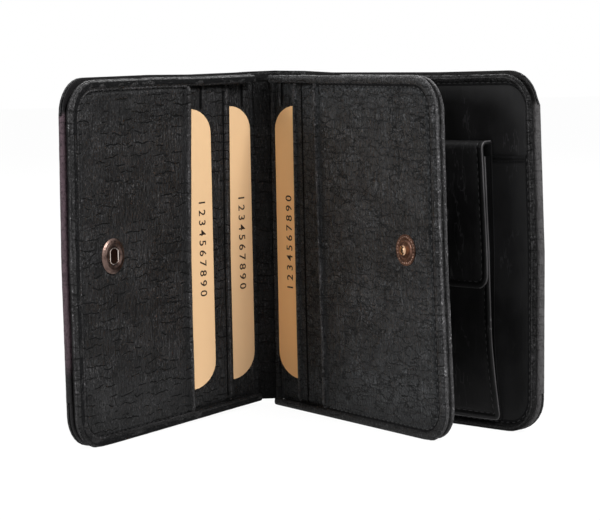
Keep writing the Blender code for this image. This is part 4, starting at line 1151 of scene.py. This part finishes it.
# Leaf
def make_leaf():
    second = mouth_lean(leaf, LEAF_MOUTH_INNER, (-1.1, -1.0, -0.8, -0.6))
    third = mouth_lean(leaf, LEAF_MOUTH_OUTER, (0.0, -0.9, -1.9, -2.0))
    face = pocket_front(LEAF_FACE, mouth=LEAF_MOUTH_OUTER, seed=13, height=0.18)
    outer = leather_sheet("leaf_pocket_front", third, leaf_shape(LEAF_MOUTH_OUTER), face, level(1.30),
                          leaf_grain, step=1.1, hollow=pocket_painted_shade(LEAF_MOUTH_OUTER))
    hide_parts("leaf_pocket_outer")
    inner_face = pocket_front(0.74, mouth=LEAF_MOUTH_INNER, seed=14, height=0.07)
    inner = leather_sheet("leaf_pocket_second", second, leaf_shape(LEAF_MOUTH_INNER), inner_face,
                          level(0.40), leaf_grain, step=1.3, hollow=pocket_painted_shade(LEAF_MOUTH_INNER))
    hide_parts("leaf_pocket_inner")
    core = leather_sheet("leaf_core", leaf, leaf_shape(1.1), tucked(-0.40, LEAF_TUCK), level(-0.75),
                         leaf_grain, step=1.4, hollow=tuck_painted_shade(LEAF_TUCK))
    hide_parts("leaf_backing")
    behind = pocket_front(-1.575, mouth=2.5, seed=15, height=0.18, sign=-1)
    back = leather_sheet("leaf_back_leather", leaf, leaf_shape(2.5), level(-1.0), behind, leaf_grain,
                         step=1.3, hollow=pocket_painted_shade(2.5))
    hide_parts("leaf_back_panel")
    front_roll = rolled_edge("leaf_front_roll", leaf, (1.1, LEAF_WIDTH, 0, LEAF_HEIGHT, CORNER, CORNER),
                             roll_section(low=0.28, high=2.42, width=2.3), leaf_rim, seed=22, crinkle=0.09)
    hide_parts("leaf_binding_front")
    back_roll = rolled_edge("leaf_back_roll", leaf, (2.5, LEAF_WIDTH, 0, LEAF_HEIGHT, CORNER, CORNER),
                            [(r, -n) for r, n in roll_section(low=0.28, high=2.0, width=2.3)], back_rim,
                            seed=23, crinkle=0.09)
    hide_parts("leaf_binding_back")
    for piece in (outer, inner, core, back, front_roll, back_roll):
        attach(piece, "leaf")
    around, rows, foot = 16, 110, 1.4
    points = []
    for i in range(rows + 1):
        z = foot + (LEAF_HEIGHT - foot) * i / rows
        fullness = 0.07 * (0.2 + 0.8 * math.sin(math.pi * i / rows))
        for k in range(around):
            a = math.tau * k / around
            r = 0.80 + fullness * float(lattice(k * 1.3, z, 2.0, 1.1, 33))
            points.append(leaf(r * math.cos(a), r * math.sin(a), z))
    faces = [(i * around + k, i * around + (k + 1) % around, (i + 1) * around + (k + 1) % around,
              (i + 1) * around + k) for i in range(rows) for k in range(around)]
    faces += [tuple(range(around)), tuple(rows * around + k for k in reversed(range(around)))]
    roll = link_mesh("leaf_hinge_roll", points, faces, rim_grain)
    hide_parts("leaf_hinge_strip")
    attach(roll, "leaf")
    on_face, on_inner, on_back = (seated(f, 85.6, 102.5) for f in (face, inner_face, behind))
    stitch_row("leaf_rim_stitches", leaf, leaf_edge(28.5, 2.95), on_face, "leaf")
    stitch_row("leaf_back_stitches", leaf, leaf_edge(4.0, 2.95), on_back, "leaf", sign=-1)
    sewn_mouth("leaf_mouth", third, mouth=LEAF_MOUTH_OUTER, foot=SEAM_FOOT, top=LEAF_SEAM_TOP, face=face,
               body="leaf")
    sewn_mouth("leaf_second_mouth", second, mouth=LEAF_MOUTH_INNER, foot=SEAM_FOOT, top=LEAF_SEAM_TOP,
               face=inner_face, body="leaf")
    short_crease("leaf_crease", leaf, u=LEAF_TUCK, top=LEAF_SEAM_TOP, depth=-0.36, body="leaf")
    # A soft dark strip of painted shade along the leaf's rim seam
    edge_bead("leaf_rim_line", leaf, leaf_edge(27.6, 2.45), on_face, radius=0.42, body="leaf",
              material=seam_soft, rise=0.25)
    edge_bead("leaf_rim_crease", leaf, leaf_edge(1.6, 0.35), flat_at(1.98), radius=0.34, body="leaf",
              material=leaf_rim, rise=0.6, rough=0.04)
    edge_bead("leaf_edge_filling", leaf, leaf_edge(40, 0.62), flat_at(-0.02), radius=0.40, body="leaf",
              material=leaf_rim, rise=0.8, rough=0.05)
    # The leaf's outer edge ridge takes the lighter painted-light leather
    edge_bead("leaf_edge_crest", leaf, leaf_edge(40, 0.10), flat_at(1.05), radius=0.50, body="leaf",
              material=crest_painted_light, rise=1.1, rough=0.05)
    # A dark strip of painted shade along the sewn line of the leaf's strip
    edge_bead("leaf_strip_line", leaf, [(17.6, SEAM_FOOT), (17.6, LEAF_SEAM_TOP)],
              lambda u, z: on_inner(u, z) + 0.02, radius=0.40, body="leaf", material=seam_dark,
              rise=0.16)


# Right board and coin pouch
def pouch_depth(z):
    """The space in the pouch: nearly flat at its foot and widest at its mouth."""
    return np.interp(z, (3, 12, 22, 32, 42, 60, 81), (0.25, 0.45, 0.80, 1.2, 1.6, 2.15, 2.7))


def pouch_face(z):
    return 3.75 + pouch_depth(z) + 0.6


def hanging(s, n, u):
    """A frame for the pouch: s runs down from its mouth, n is depth and u is along the board.
    Its free side leans outwards at the foot."""
    spread = POUCH_SPREAD * np.clip((np.asarray(s, float) - 51) / 27, 0, 1) ** 1.6
    return right(u + spread * np.clip((np.asarray(u, float) - 30) / 45, 0, 1), n, SLIP_HEIGHT - s)


def make_right_board():
    def slip_face(u, z, d):
        rise = waved(3.13, 16, 0.10)(u, z, d) - 0.15 * ridge(d, 0.9, 0.35)
        return rise + 0.10 * ridge(SLIP_HEIGHT - z, 0.8, 0.5) - 0.12 * ridge(SLIP_HEIGHT - z, 1.9, 0.3)

    # Painted shade in the slip pocket's rim groove and under its mouth
    def slip_painted_shade(u, z, d):
        below = SLIP_HEIGHT - z
        mouth = 0.4 * ridge(below, 1.9, 0.4) + 0.5 * at_edge(below, 0.2)
        return groove(0.9, 0.5)(u, z, d) + mouth

    def pouch_front(s, u, d):
        rise = pouch_face(SLIP_HEIGHT - s) + soft_wrinkle(u, s, d, 17, 0.22)
        rise = rise - 0.25 * at_edge(d, 0.2)
        return rise + 0.12 * ridge(d, 0.8, 0.5) - 0.14 * ridge(d, 1.9, 0.3)

    slip = leather_sheet("right_slip_leather", right, (1.65, 90, 2, SLIP_HEIGHT, 0.3, 8), slip_face,
                         level(2.67), lining_dark, step=1.5, hollow=slip_painted_shade)
    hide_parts("right_slip_pocket")
    rim = rolled_edge("right_rim_roll", right, (1.2, BOARD_WIDTH, 0, PANEL_HEIGHT, CORNER, CORNER),
                      roll_section(low=2.75, high=4.2, width=2.1), right_rim, seed=24, crinkle=0.09)
    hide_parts("right_binding")
    pouch_back = leather_sheet("pouch_back_leather", lambda s, n, u: hanging(s - 3.4, n, u),
                               (0, 81.4, POUCH_START, POUCH_END, 1, 1), level(3.73), level(3.37),
                               lining_dark, step=2.5, rims=(0, 0.2, 0.6, 1.2))
    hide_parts("coin_pouch_back")
    front = leather_sheet(
        "pouch_front_leather", hanging, (0, POUCH_DROP, POUCH_START, POUCH_END, 2.0, 2.0), pouch_front,
        lambda s, u, d: pouch_face(SLIP_HEIGHT - s) - 0.6, pouch_gloss, step=1.5, hollow=groove(1.5, 0.5))
    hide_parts("coin_pouch_front")
    for piece in (slip, rim, pouch_back, front):
        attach(piece, "right_board")
    make_gusset()
    # Soft dark strips of painted shade along the right rim's seam and below the slip pocket's mouth
    edge_bead("right_rim_line", right, board_rim(3.0, 2.75),
              lambda u, z: np.where(z > SLIP_HEIGHT, 2.22, 3.10), radius=0.50, body="right_board",
              material=seam_soft, rise=0.35)
    edge_bead("right_slip_mouth_line", right, [(2.0, 79.4), (89.5, 79.4)], flat_at(3.13), radius=0.22,
              body="right_board", material=seam_soft, rise=0.2)
    edge_bead("right_edge_band", right, [(BOARD_WIDTH + EDGE_SWELL - 0.55, z) for z in (12, 40, 70, 96)],
              flat_at(1.10), radius=1.0, body="right_board", material=grey_edge, rise=1.0, rough=0.05)
    edge_bead("right_rim_ridge", right, board_rim(1.6, 1.0), flat_at(4.10), radius=0.30,
              body="right_board", material=rim_grain, rise=1.0, rough=0.06)
    stitch_row("right_rim_stitches", right, board_rim(3.0, 2.45),
               lambda u, z: np.where(z > SLIP_HEIGHT, 2.42, 3.32), "right_board", width=0.28, rise=0.06)
    sides = rim_route(1.5, POUCH_DROP, POUCH_START, POUCH_END, 2.0, 1.9)
    stitch_row("pouch_side_stitches", hanging, sides, lambda s, u: pouch_face(SLIP_HEIGHT - s),
               "right_board", width=0.24, rise=0.04)
    # The pouch's folded edge bead takes the pale painted-highlight leather
    edge_bead("pouch_edge_bead", hanging, fine_route(0, POUCH_DROP, POUCH_START, POUCH_END, 2.0, 0.1),
              lambda s, u: pouch_face(SLIP_HEIGHT - s) - 0.25 + 0.20 * lattice(u, s, 30, 14, 77),
              radius=0.22, body="right_board")


def make_gusset():
    """The folded leather wall between the pouch's back and its front."""
    stations = [i / 30 for i in range(31)]
    section = [(0.5, 0), (0.0, 0.0), (0.0, 0.30), (0.55, 0.5), (0.0, 0.70), (0.0, 1.0), (0.5, 1.0),
               (0.75, 0.62), (0.95, 0.5), (0.75, 0.38)]
    points = []
    for r, share in section:
        line = np.array(rim_line(0, POUCH_DROP, POUCH_START, POUCH_END, (2.0, 2.0), r, stations, 30, 5))
        deep = 3.9 + share * (pouch_depth(SLIP_HEIGHT - line[:, 0]) - 0.3)
        points.append(hanging(line[:, 0], deep, line[:, 1]))
    faces = tube_faces(len(points[0]), len(section))
    made = link_mesh("pouch_gusset_leather", np.concatenate(points), faces, gusset_dark)
    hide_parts("coin_pouch_gusset")
    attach(made, "right_board")


FLAP_BEND = 1.6
FLAP_ROOT, FLAP_TOP = 3.4, 85.1
FLAP_OVER = 7.75 - FLAP_ROOT - FLAP_BEND


def flap_frame(s, n, u):
    """The flap's path: out over the pouch's mouth, round a soft corner, then down its front."""
    s, n, u = np.broadcast_arrays(np.asarray(s, float), np.asarray(n, float), np.asarray(u, float))
    quarter = FLAP_BEND * math.pi / 2
    turn = np.clip((s - FLAP_OVER) / quarter, 0, 1) * math.pi / 2
    down = np.maximum(s - FLAP_OVER - quarter, 0)
    out = FLAP_ROOT + np.minimum(s, FLAP_OVER) + FLAP_BEND * np.sin(turn)
    height = FLAP_TOP - FLAP_BEND * (1 - np.cos(turn)) - down
    slant = np.where(down > 0, 1.1 / 39 * down, 0)
    out = out - slant + n * np.sin(turn)
    return right(u, out, height + n * np.cos(turn))


def make_coin_flap():
    length = FLAP_OVER + FLAP_BEND * math.pi / 2 + (FLAP_TOP - FLAP_BEND - 42.0)

    def face(s, u, d):
        rise = 0.40 + soft_wrinkle(u, s, d, 18, 0.20) + 0.12 * ridge(d, 0.7, 0.5)
        return rise - 0.16 * ridge(d, 2.0, 0.32) - 0.25 * at_edge(d, 0.2)

    shape = (0, length, POUCH_START, POUCH_END, 4.0, 4.0)
    flap = leather_sheet("coin_flap_leather", flap_frame, shape, face, level(-0.36),
                         pouch_gloss, step=1.1, hollow=groove(1.5, 0.5))
    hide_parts("coin_flap")
    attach(flap, "coin_flap")
    route = rim_route(1.0, length, POUCH_START, POUCH_END, 4.0, 2.0)
    stitch_row("coin_flap_stitches", flap_frame, route, flat_at(0.30), "coin_flap", width=0.26, rise=0.06)
    route = np.array(fine_route(0.5, length, POUCH_START, POUCH_END, 4.0, 0.1))
    # The flap's folded edge beads take the pale painted-highlight leather
    for end, kept in (("far", route[:, 1] < POUCH_START + 3), ("near", route[:, 1] > POUCH_END - 3)):
        edge_bead("flap_edge_bead_" + end, flap_frame, route[kept],
                  lambda s, u: 0.18 + 0.16 * lattice(u, s, 30, 9, 78), radius=0.24, body="coin_flap")


# Cards and press studs
def make_cards():
    stock = {"left_card_outer": left_tan, "left_card_inner": left_tan, "leaf_card": leaf_tan}
    for node, material in stock.items():
        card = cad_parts[node]
        card.data.materials.clear()
        card.data.materials.append(material)
    number_row("left_card_outer", left_square, u_low=27.2, z_middle=52.3, height=3.4, length=29.0,
               depth=3.96, direction=-1)
    number_row("left_card_inner", left_square, u_low=4.9, z_middle=52.1, height=3.4, length=29.0,
               depth=2.81, direction=-1)
    number_row("leaf_card", leaf_square, u_low=6.3, z_middle=52.4, height=3.3, length=29.2, depth=0.185,
               direction=1)


def number_row(card, place, u_low, z_middle, height, length, depth, direction):
    """Plain digits along a card, their tops towards the fold."""
    curve = bpy.data.curves.new(card + "_digits_curve", "FONT")
    curve.body = "1234567890"
    curve.size = 1.0
    curve.space_character = 1.55
    curve.offset = 0.012
    text = bpy.data.objects.new(card + "_digits_curve", curve)
    bpy.context.scene.collection.objects.link(text)
    bpy.context.view_layer.update()
    flat = bpy.data.meshes.new_from_object(text.evaluated_get(bpy.context.evaluated_depsgraph_get()))
    points = np.array([v.co[:] for v in flat.vertices])
    faces = [tuple(p.vertices) for p in flat.polygons]
    bpy.data.objects.remove(text)
    points -= points.min(axis=0)
    size = points.max(axis=0)
    along = (points[:, 0] / size[0] - 0.5) * length
    up = points[:, 1] / size[1] * height
    u = u_low + height - up
    z = z_middle + direction * along
    made = link_mesh(card + "_digits", place(u, depth, z), faces, ink, smooth=False)
    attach(made, card)


def make_snaps():
    finish = {"snap_socket_spring": steel_spring, "snap_socket_ring": socket_metal,
              "snap_socket_cap": socket_metal, "snap_stud": stud_metal}
    for node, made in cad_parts.items():
        if "snap" in node:
            made.data.materials.clear()
            made.data.materials.append(finish.get(node, copper))
    dots, faces = [], []
    count, ring, radius, face = 26, 3.85, 0.26, LEAF_FACE + 0.1 + 0.3
    for k in range(count):
        a = math.tau * k / count
        u, z = STUD_PLACE + ring * math.cos(a), SNAP_HEIGHT + ring * math.sin(a)
        base = len(dots) * len(BEAD)
        dots.append(leaf_square(u + BEAD[:, 0] * radius, face + BEAD[:, 2] * 0.22, z + BEAD[:, 1] * radius))
        faces += [tuple(base + i for i in f) for f in BEAD_FACES]
    # The flange dots take the paler copper of painted highlights
    beads = link_mesh("snap_stud_dots", np.concatenate(dots), faces, dot_metal)
    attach(beads, "leaf")


# Floor and light
def background_rays(tree):
    """1 for the rays that show the white background: the camera's own, and those seen in metal or glass."""
    path = tree.nodes.new("ShaderNodeLightPath")
    shiny = plus(tree, path.outputs["Is Glossy Ray"], path.outputs["Is Transmission Ray"])
    return plus(tree, path.outputs["Is Camera Ray"], shiny, clamp=True)


def mixed(tree, share, first, second):
    """One shader blended into another by a share."""
    mix = tree.nodes.new("ShaderNodeMixShader")
    for socket, value in zip(mix.inputs, (share, first.outputs[0], second.outputs[0])):
        tree.links.new(value, socket)
    return mix.outputs[0]


def make_stage():
    mesh = bpy.data.meshes.new("floor")
    mesh.from_pydata([(-3, -3, 0), (3, -3, 0), (3, 3, 0), (-3, 3, 0)], [], [(0, 1, 2, 3)])
    floor = bpy.data.objects.new("floor", mesh)
    bpy.context.scene.collection.objects.link(floor)
    made = bpy.data.materials.new("floor_white")
    made.use_nodes = True
    tree = made.node_tree
    tree.nodes.clear()
    diffuse = tree.nodes.new("ShaderNodeBsdfDiffuse")
    diffuse.inputs["Color"].default_value = (0.86, 0.86, 0.86, 1)
    glow = tree.nodes.new("ShaderNodeEmission")
    glow.inputs["Color"].default_value = (1, 1, 1, 1)
    glow.inputs["Strength"].default_value = 1.03
    out = tree.nodes.new("ShaderNodeOutputMaterial")
    share = times(tree, background_rays(tree), 0.93)
    tree.links.new(mixed(tree, share, diffuse, glow), out.inputs["Surface"])
    mesh.materials.append(made)
    world = bpy.data.worlds.new("studio")
    bpy.context.scene.world = world
    world.use_nodes = True
    tree = world.node_tree
    tree.nodes.clear()
    backdrop = tree.nodes.new("ShaderNodeBackground")
    backdrop.inputs["Color"].default_value = (1, 1, 1, 1)
    ambient = tree.nodes.new("ShaderNodeBackground")
    ambient.inputs["Color"].default_value = (1, 1, 1, 1)
    ambient.inputs["Strength"].default_value = 0.38
    out = tree.nodes.new("ShaderNodeOutputWorld")
    tree.links.new(mixed(tree, background_rays(tree), ambient, backdrop), out.inputs["Surface"])
    for name, place, size, power in (("left_side", (-0.86, -0.46, 0.36), 0.30, 6.3),
                                     ("right_front", (0.45, -0.62, 0.80), 0.35, 13.0),
                                     ("above_behind", (0.1, 0.8, 0.8), 0.6, 6.0)):
        data = bpy.data.lights.new(name, "AREA")
        data.size = size
        data.energy = power
        lamp = bpy.data.objects.new(name, data)
        bpy.context.scene.collection.objects.link(lamp)
        lamp.location = place
        aim = Vector((0, -0.03, 0.05)) - lamp.location
        lamp.rotation_euler = aim.to_track_quat("-Z", "Y").to_euler()


make_covers()
make_left_board()
make_leaf()
make_right_board()
make_coin_flap()
make_cards()
make_snaps()
make_stage()
bpy.context.scene.view_settings.view_transform = "Standard"
